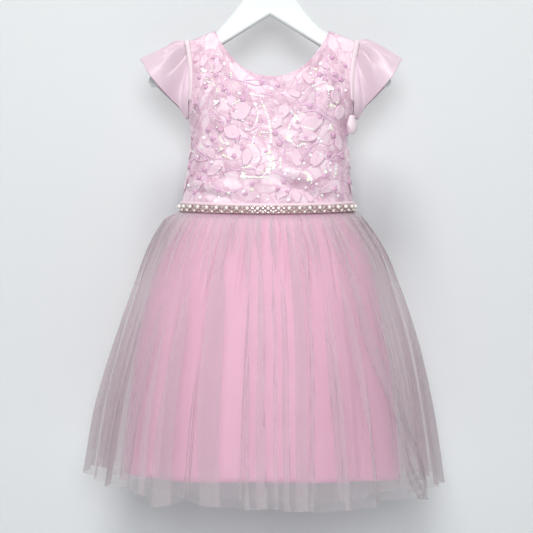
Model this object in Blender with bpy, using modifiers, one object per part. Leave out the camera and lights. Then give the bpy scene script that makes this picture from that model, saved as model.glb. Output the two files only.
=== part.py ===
"""A toddler's party dress on a child's coat hanger.

Metres, +Z up. The dress faces -Y, and +X is to the right as it is looked at from the front.
The origin is the inside top of the hanger's hook, where a rod carries it, so heights are negative.
The left side is the side at -X.
"""
import math

import bmesh
import bpy
from mathutils import Vector

# Cloth and clearances
GAP = 0.0003                # between pieces that are sewn to each other
LIE = 0.0005                # between a piece and the panel that it lies on
BODICE_WALL = 0.0015        # satin, interlining and embroidered net together
SATIN_WALL = 0.0012
TULLE_WALL = 0.0010         # all the layers of tulle together
LINING_WALL = 0.0012
FRONT, BACK = -1, 1         # the way that a panel faces along Y
LEFT, RIGHT = -1, 1

# Bodice: the inside of the wall, a row for each level from the shoulder to the waist
ROUNDNESS = 2.4             # power of the body's oval, 2 is an ellipse
BODICE_COLUMNS = ("height", "middle", "half_width", FRONT, BACK)
BODICE_LEVELS = (
    (-0.151, 0.0024, 0.1200, 0.046, 0.042),
    (-0.200, 0.0018, 0.1130, 0.051, 0.046),
    (-0.246, 0.0010, 0.1055, 0.056, 0.050),
    (-0.276, -0.0011, 0.1005, 0.058, 0.052),
    (-0.308, -0.0011, 0.1035, 0.060, 0.053),
    (-0.330, -0.0024, 0.1060, 0.060, 0.053),
    (-0.348, -0.0030, 0.1080, 0.059, 0.052),
    (-0.3626, -0.0035, 0.1100, 0.058, 0.051),
)
SHOULDER_MIDDLE = 0.0027
NECK_HALF, NECK_POINT_Z = 0.0736, -0.135
SHOULDER_HALF, SHOULDER_TIP_Z = 0.1134, -0.151
UNDERARM_Z = -0.246
NECKLINE = {FRONT: (-0.200, 2.4), BACK: (-0.208, 2.9)}      # lowest point, power of the scoop
ARMHOLE_CURVE = 0.002       # how far the armhole bows towards the neck
SHOULDER_FOLD = 0.007       # half the cloth's thickness over the hanger's edge
SHOULDER_FOLD_DROP = 0.005
SHOULDER_TO_BUST = 0.095    # drop in which the bodice fills out to its full depth
WAIST_Z, WAIST_SAG = -0.3626, {FRONT: 0.005, BACK: 0.003}
NECK_STEPS, SHOULDER_STEPS = 18, 4
SIDE_ROWS, ARMHOLE_ROWS = 7, 10
UNDERARM_SHARE = 0.55       # share of a bodice panel's rows that lie below the underarm

# Organza petals on the bodice: place across and up the panel, length, lean from upright in degrees
PETAL_COLUMNS = ("across", "up", "length", "lean")
PETALS = (
    (0.12, 0.86, 0.016, 30), (0.20, 0.66, 0.018, -40), (0.10, 0.48, 0.015, 20), (0.22, 0.36, 0.018, 65),
    (0.13, 0.16, 0.016, -30), (0.31, 0.80, 0.014, 80), (0.35, 0.56, 0.017, -20), (0.34, 0.22, 0.018, 40),
    (0.44, 0.70, 0.015, 55), (0.47, 0.42, 0.018, -65), (0.48, 0.10, 0.016, 15), (0.56, 0.84, 0.015, -35),
    (0.60, 0.58, 0.018, 35), (0.59, 0.28, 0.016, -15), (0.69, 0.72, 0.016, 70), (0.71, 0.44, 0.018, -50),
    (0.70, 0.14, 0.017, 45), (0.80, 0.88, 0.016, -25), (0.83, 0.60, 0.018, 20), (0.82, 0.32, 0.016, -70),
    (0.90, 0.76, 0.015, 40), (0.89, 0.12, 0.017, -20),
)
PETAL_RISE, PETAL_HALF_WIDTH = 0.0018, 0.0055
PETAL_EDGE = 1.6            # how far its soft edge reaches, in squared half sizes

# Cap sleeves: their hem, from the underarm at the front over the shoulder to the underarm at the back
SLEEVE_HEM_COLUMNS = ("turn", "out", "depth", "height")
SLEEVE_HEM = (
    (0.00, 0.1120, -0.0040, -0.2480),
    (0.16, 0.1205, -0.0180, -0.2342),
    (0.34, 0.1320, -0.0290, -0.2222),
    (0.52, 0.1446, -0.0330, -0.2096),
    (0.70, 0.1570, -0.0290, -0.1952),
    (0.86, 0.1658, -0.0170, -0.1796),
    (1.00, 0.1715, -0.0010, -0.1710),
)
SLEEVE_REACH = {LEFT: 1.0, RIGHT: 0.965}
SLEEVE_ROWS = 6
SLEEVE_PUFF_TOP, SLEEVE_PUFF_FRONT = 0.0075, 0.0020
SLEEVE_GATHERS, SLEEVE_GATHER_RISE = 5, 0.0017
BINDING_INSET, BINDING_WIDTH, BINDING_LIFT = 0.0020, 0.0045, 0.0011

# Belt
BELT_HEIGHT, BELT_WALL = 0.014, 0.0012
PEARL_PITCH, PEARL_RISE, SMALL_PEARL_RISE = 0.0129, 0.0042, 0.0028
PEARL_DOWN, SMALL_PEARL_DOWN = 0.0046, 0.0094      # from the belt's upper edge
BELT_CLEAR = 0.0012         # from the waist's inside to the belt, over the bodice wall

# Skirts: the inside of the wall, a row for each drop below the waist seam
SKIRT_COLUMNS = ("drop", "middle", "half_width", FRONT, BACK)
TULLE_LEVELS = (
    (0.0000, -0.0035, 0.1100, 0.058, 0.051),
    (0.0078, -0.0037, 0.1102, 0.058, 0.051),
    (0.0110, -0.0060, 0.1225, 0.066, 0.058),
    (0.0220, -0.0070, 0.1325, 0.074, 0.064),
    (0.0570, -0.0052, 0.1530, 0.088, 0.076),
    (0.0930, -0.0040, 0.1670, 0.098, 0.085),
    (0.1270, -0.0035, 0.1780, 0.107, 0.093),
    (0.1860, -0.0040, 0.1935, 0.120, 0.104),
    (0.2720, -0.0065, 0.2110, 0.136, 0.116),
    (0.3650, -0.0075, 0.2250, 0.148, 0.126),
)
LINING_LEVELS = (
    (0.0000, -0.0035, 0.1080, 0.0560, 0.0490),
    (0.0078, -0.0036, 0.1080, 0.0560, 0.0490),
    (0.0200, -0.0040, 0.1140, 0.0585, 0.0510),
    (0.0570, -0.0055, 0.1310, 0.0660, 0.0570),
    (0.1000, -0.0080, 0.1440, 0.0740, 0.0640),
    (0.1600, -0.0095, 0.1565, 0.0860, 0.0730),
    (0.2300, -0.0100, 0.1680, 0.0990, 0.0830),
    (0.3450, -0.0100, 0.1785, 0.1130, 0.0940),
)
TULLE_HEM = ({FRONT: -0.7255, BACK: -0.7160}, {LEFT: -0.6980, RIGHT: -0.7160})     # middles, seams
LINING_HEM = ({FRONT: -0.7020, BACK: -0.7030}, {LEFT: -0.6980, RIGHT: -0.7130})
TULLE_STEPS, TULLE_ROWS = 84, (0, 0.0078, 0.0110, 0.0220, 0.045, 0.090, 0.160, 0.250, 0.365)
LINING_STEPS, LINING_ROWS = 32, (0, 0.0078, 0.020, 0.060, 0.140, 0.240, 0.345)

# Flutes of the tulle at the hem, counted from the left seam: place, half width, height of each
FLUTE_COLUMNS = ("place", "half_width", "rise")
TULLE_FLUTES = {
    FRONT: (
        (0.090, 0.040, 0.012), (0.160, 0.034, 0.010), (0.222, 0.030, 0.013), (0.284, 0.032, 0.010),
        (0.334, 0.024, 0.014), (0.368, 0.016, -0.014), (0.402, 0.026, 0.012), (0.446, 0.022, 0.009),
        (0.486, 0.022, 0.012), (0.530, 0.024, 0.010), (0.576, 0.024, 0.013), (0.620, 0.022, 0.009),
        (0.662, 0.024, 0.012), (0.706, 0.024, -0.012), (0.748, 0.030, 0.008), (0.800, 0.030, 0.012),
        (0.862, 0.032, 0.011), (0.925, 0.030, 0.010),
    ),
    BACK: (
        (0.080, 0.036, 0.011), (0.150, 0.036, 0.013), (0.225, 0.034, 0.009), (0.290, 0.032, 0.012),
        (0.355, 0.034, 0.010), (0.425, 0.034, 0.013), (0.490, 0.030, 0.009), (0.555, 0.034, 0.012),
        (0.625, 0.034, 0.010), (0.695, 0.036, 0.013), (0.770, 0.036, 0.010), (0.845, 0.038, 0.012),
        (0.920, 0.034, 0.010),
    ),
}
LINING_FLUTES = {
    FRONT: ((0.16, 0.10, 0.007), (0.36, 0.10, 0.006), (0.60, 0.12, 0.007), (0.84, 0.10, 0.006)),
    BACK: ((0.20, 0.12, 0.006), (0.50, 0.14, 0.007), (0.80, 0.12, 0.006)),
}
FLUTE_FROM, FLUTE_FULL = 0.010, 0.300   # drops where the flutes start and are full
GATHER_STEPS, GATHER_RISE, GATHER_END = 3, 0.0018, 0.120

# Hanger: half of the flat body's outline. Between its hub and its end the board follows the shoulder
HUB_TOP_Z = -0.060
HANGER_HUB = (
    (0.0070, -0.0615), (0.0120, -0.0670), (0.0200, -0.0755), (0.0350, -0.0935), (0.0500, -0.1130),
    (0.0600, -0.1245),
)
HANGER_SHOULDER_OUT = (0.0700, 0.0800, 0.0950, 0.1120)
HANGER_END = (
    (0.1300, -0.1650), (0.1500, -0.1870), (0.1570, -0.1960), (0.1575, -0.2020), (0.1535, -0.2070),
    (0.1480, -0.2065), (0.0600, -0.1513), (0.0100, -0.1200),
)
HUB_UNDER_Z = -0.1140
HANGER_THICK, HANGER_ROUND = 0.010, 0.0038
HANGER_REST = 0.0011        # the body's top edge below the shoulder seams
HOOK_WIRE, HOOK_BEND = 0.0032, 0.019    # wire diameter, radius of its middle line
HOOK_STEM_TOP_Z = -0.046
HOOK_FIRST, HOOK_LAST = -48, 200        # degrees round the bend


def along(columns, rows, name, at):
    """The value in the column called name where the first column is at, on a smooth curve."""
    place = columns.index(name)
    spots = sorted((row[0], row[place]) for row in rows)
    if at <= spots[0][0]:
        return spots[0][1]
    if at >= spots[-1][0]:
        return spots[-1][1]
    last = len(spots) - 1
    step = next(i for i in range(last) if spots[i][0] <= at <= spots[i + 1][0])

    def slope(i):
        before, after = spots[max(i - 1, 0)], spots[min(i + 1, last)]
        return (after[1] - before[1]) / (after[0] - before[0])

    (start, low), (end, high) = spots[step], spots[step + 1]
    span = end - start
    t = (at - start) / span
    return (low * (1 + 2 * t) * (1 - t) ** 2 + high * t * t * (3 - 2 * t)
            + slope(step) * span * t * (1 - t) ** 2 + slope(step + 1) * span * t * t * (t - 1))


def ease(share):
    """From 0 to 1 with a soft start and end."""
    share = min(max(share, 0.0), 1.0)
    return share * share * (3 - 2 * share)


def mix(start, end, share):
    return start + (end - start) * share


def new_material(name, colour, roughness, metallic=0.0):
    material = bpy.data.materials.new(name)
    material.use_nodes = True
    shader = material.node_tree.nodes["Principled BSDF"]
    shader.inputs["Base Color"].default_value = (*colour, 1.0)
    shader.inputs["Roughness"].default_value = roughness
    shader.inputs["Metallic"].default_value = metallic
    return material


def new_object(name, mesh, material, collection):
    thing = bpy.data.objects.new(name, mesh)
    collection.objects.link(thing)
    mesh.materials.append(material)
    return thing


def cloth_wall(name, point, steps, rows, thickness, material, collection, rise=None):
    """A sheet of steps by rows squares, bent to point(column, row), with a wall outside it.

    rise(column, row) lifts the outer face further, over a plain inner face.
    """
    mesh = bpy.data.meshes.new(name)
    grid = bmesh.new()
    bmesh.ops.create_grid(grid, x_segments=steps, y_segments=rows, size=0.5)
    places = [(column, row) for row in range(rows + 1) for column in range(steps + 1)]
    for vert, (column, row) in zip(grid.verts, places):
        vert.co = point(column, row)
    grid.to_mesh(mesh)
    grid.free()
    sheet = new_object(name, mesh, material, collection)
    wall = sheet.modifiers.new("wall", "SOLIDIFY")
    wall.thickness = thickness
    wall.offset = 1.0
    wall.use_quality_normals = True
    if rise is not None:
        raise_outside(sheet, places, rise)
    sheet.data.shade_smooth()
    return sheet


def raise_outside(sheet, places, rise):
    """Make the wall real, with its outer points first, then move those out by rise(column, row)."""
    evaluated = sheet.evaluated_get(bpy.context.evaluated_depsgraph_get())
    solid = bpy.data.meshes.new_from_object(evaluated)
    sheet.modifiers.clear()
    count = len(places)
    for index, (column, row) in enumerate(places):
        outer, inner = solid.vertices[index].co, solid.vertices[index + count].co
        solid.vertices[index].co = outer + (outer - inner).normalized() * rise(column, row)
    sheet.data = solid


# ---------------------------------------------------------------- the body's surface

def bodice_at(height, name):
    return along(BODICE_COLUMNS, BODICE_LEVELS, name, height)


def oval(turn, middle, half_width, depth, facing):
    """A point of half an oval, for turn from 0 at its first side seam to 1 at the other."""
    across, out = math.cos(math.pi * turn), math.sin(math.pi * turn)
    x = -math.copysign(abs(across) ** (2 / ROUNDNESS), across) * half_width
    return middle - facing * x, facing * (GAP / 2 + depth * out)


def waist_height(turn, facing):
    return WAIST_Z - WAIST_SAG[facing] * math.sin(math.pi * turn) ** 2


def shoulder_line(x):
    """Height of the line through the shoulder seam at x."""
    slope = (SHOULDER_TIP_Z - NECK_POINT_Z) / (SHOULDER_HALF - NECK_HALF)
    return NECK_POINT_Z + slope * (abs(x - SHOULDER_MIDDLE) - NECK_HALF)


def body_depth(x, z, facing):
    """Y of the bodice's inside at x and z: a fold over the hanger that fills out to the body's oval."""
    drop = max(shoulder_line(x) - z, 0.0)
    filled = ease(drop / SHOULDER_TO_BUST)
    short = 1 - min(drop / SHOULDER_FOLD_DROP, 1.0)
    fold = SHOULDER_FOLD * math.sqrt(1 - short * short) * (1 - filled)
    share = min(abs(x - bodice_at(z, "middle")) / bodice_at(z, "half_width"), 1.0)
    depth = bodice_at(z, facing) * filled * math.sqrt(1 - share ** ROUNDNESS)
    return facing * (GAP / 2 + fold + depth)


def side_edge(up, hand):
    """X and z of a side seam and, above the underarm, of an armhole's edge."""
    if up <= UNDERARM_SHARE:
        z = mix(WAIST_Z, UNDERARM_Z, up / UNDERARM_SHARE)
        return bodice_at(z, "middle") + hand * bodice_at(z, "half_width"), z
    rise = (up - UNDERARM_SHARE) / (1 - UNDERARM_SHARE)
    z = mix(UNDERARM_Z, SHOULDER_TIP_Z, rise)
    start = bodice_at(UNDERARM_Z, "half_width")
    out = mix(start, SHOULDER_HALF, rise * rise) - ARMHOLE_CURVE * math.sin(math.pi * rise)
    return mix(bodice_at(UNDERARM_Z, "middle"), SHOULDER_MIDDLE, rise) + hand * out, z


def top_edge(across, facing):
    """X and z of the shoulder seams and the neckline, from the left shoulder tip to the right."""
    share = SHOULDER_STEPS / (NECK_STEPS + 2 * SHOULDER_STEPS)
    if across < share or across > 1 - share:
        hand = LEFT if across < share else RIGHT
        inward = min(across, 1 - across) / share
        out = mix(SHOULDER_HALF, NECK_HALF, inward)
        return SHOULDER_MIDDLE + hand * out, mix(SHOULDER_TIP_Z, NECK_POINT_Z, inward)
    place = math.sin(math.pi / 2 * ((across - share) / (1 - 2 * share) * 2 - 1))
    lowest, power = NECKLINE[facing]
    z = lowest + (NECK_POINT_Z - lowest) * abs(place) ** power
    return SHOULDER_MIDDLE + place * NECK_HALF, z


def bottom_edge(across, facing):
    turn = across if facing == FRONT else 1 - across
    x, _ = oval(turn, bodice_at(WAIST_Z, "middle"), bodice_at(WAIST_Z, "half_width"), 0, facing)
    return x, waist_height(turn, facing)


def bodice_point(across, up, facing):
    """The bodice's inside: across from the left side to the right, up from waist to shoulder."""
    bottom, top = bottom_edge(across, facing), top_edge(across, facing)
    left, right = side_edge(up, LEFT), side_edge(up, RIGHT)
    corners = (bottom_edge(0, facing), bottom_edge(1, facing), top_edge(0, facing), top_edge(1, facing))
    flat = []
    for axis in (0, 1):
        edges = mix(bottom[axis], top[axis], up) + mix(left[axis], right[axis], across)
        low = mix(corners[0][axis], corners[1][axis], across)
        high = mix(corners[2][axis], corners[3][axis], across)
        flat.append(edges - mix(low, high, up))
    x, z = flat
    return Vector((x, body_depth(x, z, facing), z))


def armhole_share(step):
    """How far up a bodice panel an armhole row lies; the rows draw together at the shoulder."""
    return mix(UNDERARM_SHARE, 1, 1 - (1 - step / ARMHOLE_ROWS) ** 2)


def row_share(row):
    if row <= SIDE_ROWS:
        return UNDERARM_SHARE * row / SIDE_ROWS
    return armhole_share(row - SIDE_ROWS)


# ---------------------------------------------------------------- bodice

def petal_rise(across, up, facing):
    """How far the nearest petal lifts the cloth's face at a place on a panel."""
    here = bodice_point(across, up, facing)
    highest = 0.0
    for row in PETALS:
        petal = dict(zip(PETAL_COLUMNS, row))
        place = petal["across"] if facing == FRONT else 1 - petal["across"]
        centre = bodice_point(place, petal["up"], facing)
        dx, dz = here.x - centre.x, here.z - centre.z
        turn = math.radians(petal["lean"])
        lengthways = dx * math.sin(turn) + dz * math.cos(turn)
        sideways = dx * math.cos(turn) - dz * math.sin(turn)
        off = (lengthways / (petal["length"] / 2)) ** 2 + (sideways / PETAL_HALF_WIDTH) ** 2
        highest = max(highest, PETAL_RISE * ease(PETAL_EDGE - off))
    return highest


def bodice_panel(name, facing, first, last, material, collection):
    """A panel from column first to column last of the bodice's columns."""
    columns = NECK_STEPS + 2 * SHOULDER_STEPS
    rows = SIDE_ROWS + ARMHOLE_ROWS
    steps = last - first

    def share(column):
        step = first + column if facing == FRONT else last - column
        return step / columns

    def point(column, row):
        place = bodice_point(share(column), row_share(row), facing)
        if share(column) == 0.5 and facing == BACK:
            place.x += GAP / 2 * (1 if first > 0 else -1)
        return place

    def rise(column, row):
        if row in (0, 1, rows - 1, rows) or column in (0, steps):
            return 0.0
        across = share(column)
        if min(across, 1 - across) * columns < 1.5 and row > SIDE_ROWS - 2:
            return 0.0
        return petal_rise(across, row_share(row), facing)

    return cloth_wall(name, point, steps, rows, BODICE_WALL, material, collection, rise)


def make_bodice(materials, collection):
    """The three panels, each with the place of its first column counted from the left side."""
    columns = NECK_STEPS + 2 * SHOULDER_STEPS
    half = columns // 2
    cloth = materials["embroidered_net"]
    front = bodice_panel("bodice_front", FRONT, 0, columns, cloth, collection)
    back_left = bodice_panel("bodice_back_left", BACK, 0, half, cloth, collection)
    back_right = bodice_panel("bodice_back_right", BACK, half, columns, cloth, collection)
    return {(FRONT, LEFT): front, (FRONT, RIGHT): front, (BACK, LEFT): back_left, (BACK, RIGHT): back_right}


def panel_edge(bodice, facing, hand, row, inward):
    """Outer point of a bodice panel, inward columns in from its armhole edge, and the way out."""
    mesh = bodice[facing, hand].data
    rows = SIDE_ROWS + ARMHOLE_ROWS
    count = len(mesh.vertices) // 2
    steps = count // (rows + 1) - 1
    starts_left = facing == FRONT
    column = inward if starts_left == (hand == LEFT) else steps - inward
    index = row * (steps + 1) + column
    outer, inner = mesh.vertices[index].co, mesh.vertices[index + count].co
    return outer.copy(), (outer - inner).normalized()


# ---------------------------------------------------------------- sleeves and bindings

def armhole_point(bodice, step, hand, inset, lift):
    """A point over the bodice's face: inset from the armhole's edge, lift above the cloth.

    The steps go from the underarm at the front, over the shoulder, to the underarm at the back.
    """
    if step == ARMHOLE_ROWS:
        front = armhole_point_on(bodice, FRONT, hand, ARMHOLE_ROWS, inset, lift)
        back = armhole_point_on(bodice, BACK, hand, ARMHOLE_ROWS, inset, lift)
        return (front + back) / 2
    if step < ARMHOLE_ROWS:
        return armhole_point_on(bodice, FRONT, hand, step, inset, lift)
    return armhole_point_on(bodice, BACK, hand, 2 * ARMHOLE_ROWS - step, inset, lift)


def armhole_point_on(bodice, facing, hand, step, inset, lift):
    edge, edge_out = panel_edge(bodice, facing, hand, SIDE_ROWS + step, 0)
    next_in, next_out = panel_edge(bodice, facing, hand, SIDE_ROWS + step, 1)
    share = min(inset / (next_in - edge).length, 0.95)
    return edge.lerp(next_in, share) + edge_out.lerp(next_out, share).normalized() * lift


def sleeve_hem(step, hand):
    turn = 1 - abs(step / ARMHOLE_ROWS - 1)
    facing = 1 if step <= ARMHOLE_ROWS else -1
    out, depth, z = (along(SLEEVE_HEM_COLUMNS, SLEEVE_HEM, name, turn)
                     for name in SLEEVE_HEM_COLUMNS[1:])
    if step == ARMHOLE_ROWS:
        depth = 0.0
    root = bodice_at(UNDERARM_Z, "half_width")
    out = root + (out - root) * SLEEVE_REACH[hand]
    return Vector((SHOULDER_MIDDLE + hand * out, facing * depth, z))


def sleeve_point(bodice, step, down, hand):
    """The sleeve's inside: step round the armhole, down from the seam to the hem."""
    seam = armhole_point(bodice, step, hand, 0, LIE)
    round_share = step / (2 * ARMHOLE_ROWS)
    crown = math.sin(math.pi * round_share)
    outward = Vector((0.35 * hand, -math.cos(math.pi * round_share), crown)).normalized()
    puff = mix(SLEEVE_PUFF_FRONT, SLEEVE_PUFF_TOP, crown ** 3) * crown
    swell = puff * math.sin(math.pi * down ** 0.7)
    wave = math.cos(2 * math.pi * SLEEVE_GATHERS * (round_share - 0.5) * 1.6)
    gather = SLEEVE_GATHER_RISE * wave * crown ** 4 * math.sin(math.pi * min(down * 1.1, 1) ** 0.6)
    return seam.lerp(sleeve_hem(step, hand), down) + outward * (swell + gather)


def make_sleeve(name, hand, bodice, material, collection):
    steps = 2 * ARMHOLE_ROWS

    def point(column, row):
        step = steps - column if hand == LEFT else column
        return sleeve_point(bodice, step, 1 - row / SLEEVE_ROWS, hand)

    cloth_wall(name, point, steps, SLEEVE_ROWS, SATIN_WALL, material, collection)


def make_binding(name, hand, bodice, material, collection):
    """A strip on the bodice beside the sleeve, from just over the underarm and round to its back."""
    first, last = 1, 2 * ARMHOLE_ROWS - 1

    def point(column, row):
        step = first + column if hand == LEFT else last - column
        inset = BINDING_INSET + BINDING_WIDTH * (1 - row)
        return armhole_point(bodice, step, hand, inset, BINDING_LIFT)

    cloth_wall(name, point, last - first, 1, SATIN_WALL, material, collection)


# ---------------------------------------------------------------- skirts

def flute_rise(place, flutes):
    """Height of the fold that place lies on, or 0 between folds."""
    total = 0.0
    for row in flutes:
        flute = dict(zip(FLUTE_COLUMNS, row))
        off = abs(place - flute["place"]) / flute["half_width"]
        if off < 1:
            total += flute["rise"] * math.cos(math.pi / 2 * off) ** 2
    return total


def hem_height(turn, facing, hem):
    """Height of a skirt's hem, from the first side seam of its panel to the other."""
    middles, seams = hem
    first = LEFT if facing == FRONT else RIGHT
    return mix(mix(seams[first], seams[-first], turn), middles[facing], math.sin(math.pi * turn) ** 2)


def skirt_panel(name, facing, levels, flutes, hem, steps, drops, wall, gathered, material, collection):
    full_drop = drops[-1]

    def point(column, row):
        turn = column / steps
        from_left = turn if facing == FRONT else 1 - turn
        drop = drops[len(drops) - 1 - row]
        middle, half_width, depth = (along(SKIRT_COLUMNS, levels, name, drop)
                                     for name in ("middle", "half_width", facing))
        x, y = oval(turn, middle, half_width, depth, facing)
        seam = waist_height(turn, facing) - GAP
        z = mix(seam, hem_height(turn, facing, hem), drop / full_drop)
        out = Vector((x - middle, y, 0)).normalized()
        to_seam = ease(min(turn, 1 - turn) / 0.03)
        folds = flute_rise(from_left, flutes) * ease((drop - FLUTE_FROM) / FLUTE_FULL)
        if gathered and column % GATHER_STEPS == 1 and drop > FLUTE_FROM:
            folds += GATHER_RISE * (1 - ease(drop / GATHER_END))
        return Vector((x, y, z)) + out * folds * to_seam

    cloth_wall(name, point, steps, len(drops) - 1, wall, material, collection)


def make_skirts(materials, collection):
    for facing, word in ((FRONT, "front"), (BACK, "back")):
        skirt_panel("tulle_" + word, facing, TULLE_LEVELS, TULLE_FLUTES[facing], TULLE_HEM,
                    TULLE_STEPS, TULLE_ROWS, TULLE_WALL, True, materials["tulle"], collection)
        skirt_panel("lining_" + word, facing, LINING_LEVELS, LINING_FLUTES[facing], LINING_HEM,
                    LINING_STEPS, LINING_ROWS, LINING_WALL, False, materials["lining"], collection)


# ---------------------------------------------------------------- belt

def even_turns(count):
    """Places round the waist, 0 to 1 along the front and 1 to 2 along the back, evenly spaced."""
    samples = 720
    half_width = bodice_at(WAIST_Z, "half_width")

    def spot(turn):
        facing = FRONT if turn < 1 else BACK
        return Vector(oval(turn % 1, 0, half_width, bodice_at(WAIST_Z, facing), facing))

    lengths = [0.0]
    for i in range(samples):
        lengths.append(lengths[-1] + (spot(2 * (i + 1) / samples % 2) - spot(2 * i / samples)).length)
    turns = []
    i = 0
    for k in range(count):
        target = lengths[-1] * k / count
        while lengths[i + 1] < target:
            i += 1
        turns.append(2 * (i + (target - lengths[i]) / (lengths[i + 1] - lengths[i])) / samples)
    return turns, lengths[-1]


def make_belt(material, collection):
    """A closed band whose outer face rises to a point at each pearl, in two staggered rows."""
    _, girth = even_turns(4)
    pearls = round(girth / PEARL_PITCH)
    turns, _ = even_turns(4 * pearls)
    lift = BODICE_WALL + BELT_CLEAR
    half_width = bodice_at(WAIST_Z, "half_width")

    def profile(column):
        turn = turns[column]
        facing = FRONT if turn < 1 else BACK
        depth = bodice_at(WAIST_Z, facing)
        top = waist_height(turn % 1, facing) + BELT_HEIGHT / 2

        def at(out, down):
            reach = lift + out
            x, y = oval(turn % 1, bodice_at(WAIST_Z, "middle"), half_width + reach,
                        depth + reach, facing)
            return Vector((x, y, top - down))

        big = PEARL_RISE if column % 4 == 0 else 0.0
        small = SMALL_PEARL_RISE if column % 4 == 2 else 0.0
        return (at(0, BELT_HEIGHT), at(BELT_WALL, BELT_HEIGHT), at(BELT_WALL + small, SMALL_PEARL_DOWN),
                at(BELT_WALL + big, PEARL_DOWN), at(BELT_WALL, 0), at(0, 0))

    band = bmesh.new()
    rings = [[band.verts.new(point) for point in profile(column)] for column in range(4 * pearls)]
    small_row, big_row = 2, 3
    for column, ring in enumerate(rings):
        following = rings[(column + 1) % len(rings)]
        peaks = {big_row} if column % 4 == 0 else {small_row} if column % 4 == 2 else set()
        next_peaks = {big_row} if column % 4 == 3 else {small_row} if column % 4 == 1 else set()
        for i in range(len(ring)):
            j = (i + 1) % len(ring)
            if i in peaks or j in next_peaks:
                band.faces.new((ring[i], following[i], ring[j]))
                band.faces.new((following[i], following[j], ring[j]))
            else:
                band.faces.new((ring[i], following[i], following[j]))
                band.faces.new((ring[i], following[j], ring[j]))
    mesh = bpy.data.meshes.new("belt_band")
    bmesh.ops.recalc_face_normals(band, faces=band.faces)
    band.to_mesh(mesh)
    band.free()
    new_object("belt_band", mesh, material, collection)


# ---------------------------------------------------------------- hanger

def make_hanger_body(material, collection):
    """A flat board with rounded edges: its outline is one curve, filled and given its thickness."""
    outline = bpy.data.curves.new("hanger_body", "CURVE")
    outline.dimensions = "2D"
    outline.fill_mode = "BOTH"
    outline.extrude = HANGER_THICK / 2 - HANGER_ROUND
    outline.bevel_depth = HANGER_ROUND
    outline.bevel_resolution = 2
    outline.offset = -HANGER_ROUND
    right, left = ([(hand * out, z) for out, z in HANGER_HUB]
                   + [(hand * out, shoulder_line(hand * out) - HANGER_REST) for out in HANGER_SHOULDER_OUT]
                   + [(hand * out, z) for out, z in HANGER_END] for hand in (RIGHT, LEFT))
    points = [(0, HUB_TOP_Z)] + right + [(0, HUB_UNDER_Z)] + left[::-1]
    spline = outline.splines.new("POLY")
    spline.points.add(len(points) - 1)
    for spot, (x, z) in zip(spline.points, points):
        spot.co = (x, z, 0, 1)
    spline.use_cyclic_u = True
    body = bpy.data.objects.new("hanger_body", outline)
    body.rotation_euler = (math.pi / 2, 0, 0)
    outline.materials.append(material)
    collection.objects.link(body)


def make_hanger_hook(material, collection):
    """A wire that rises from the hub, swings to one side and bends over the rod."""
    centre_z = HOOK_WIRE / 2 - HOOK_BEND
    points = [(0, HUB_TOP_Z + GAP), (0, HOOK_STEM_TOP_Z)]
    first = math.radians(HOOK_FIRST)
    start = Vector((0, HOOK_STEM_TOP_Z))
    end = Vector((HOOK_BEND * math.cos(first), centre_z + HOOK_BEND * math.sin(first)))
    corner = end + Vector((math.sin(first), -math.cos(first))) * 0.010
    swing = 5
    for i in range(1, swing):
        t = i / swing
        points.append(tuple(start * (1 - t) ** 2 + corner * 2 * t * (1 - t) + end * t * t))
    arc = 20
    for i in range(arc + 1):
        angle = math.radians(mix(HOOK_FIRST, HOOK_LAST, i / arc))
        points.append((HOOK_BEND * math.cos(angle), centre_z + HOOK_BEND * math.sin(angle)))
    wire = bpy.data.curves.new("hanger_hook", "CURVE")
    wire.dimensions = "3D"
    wire.bevel_depth = HOOK_WIRE / 2
    wire.bevel_resolution = 2
    wire.use_fill_caps = True
    spline = wire.splines.new("POLY")
    spline.points.add(len(points) - 1)
    for spot, (x, z) in zip(spline.points, points):
        spot.co = (x, 0, z, 1)
    hook = bpy.data.objects.new("hanger_hook", wire)
    wire.materials.append(material)
    collection.objects.link(hook)


# ---------------------------------------------------------------- the dress on its hanger

for thing in list(bpy.data.objects):
    bpy.data.objects.remove(thing, do_unlink=True)
dress = bpy.data.collections.new("party dress on hanger")
bpy.context.scene.collection.children.link(dress)
finishes = {
    "embroidered_net": new_material("embroidered_net", (0.86, 0.62, 0.72), 0.45),
    "satin": new_material("satin", (0.88, 0.70, 0.78), 0.32),
    "tulle": new_material("tulle", (0.80, 0.62, 0.70), 0.85),
    "lining": new_material("lining", (0.80, 0.42, 0.60), 0.70),
    "pearl_trim": new_material("pearl_trim", (0.74, 0.64, 0.62), 0.25),
    "white_paint": new_material("white_paint", (0.86, 0.88, 0.87), 0.45),
    "steel": new_material("steel", (0.60, 0.60, 0.61), 0.28, 1.0),
}
bodice_panels = make_bodice(finishes, dress)
for side, word in ((LEFT, "left"), (RIGHT, "right")):
    make_sleeve("sleeve_" + word, side, bodice_panels, finishes["satin"], dress)
    make_binding("armhole_binding_" + word, side, bodice_panels, finishes["satin"], dress)
make_belt(finishes["pearl_trim"], dress)
make_skirts(finishes, dress)
make_hanger_body(finishes["white_paint"], dress)
make_hanger_hook(finishes["steel"], dress)
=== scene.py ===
import functools
import math
import random

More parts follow.
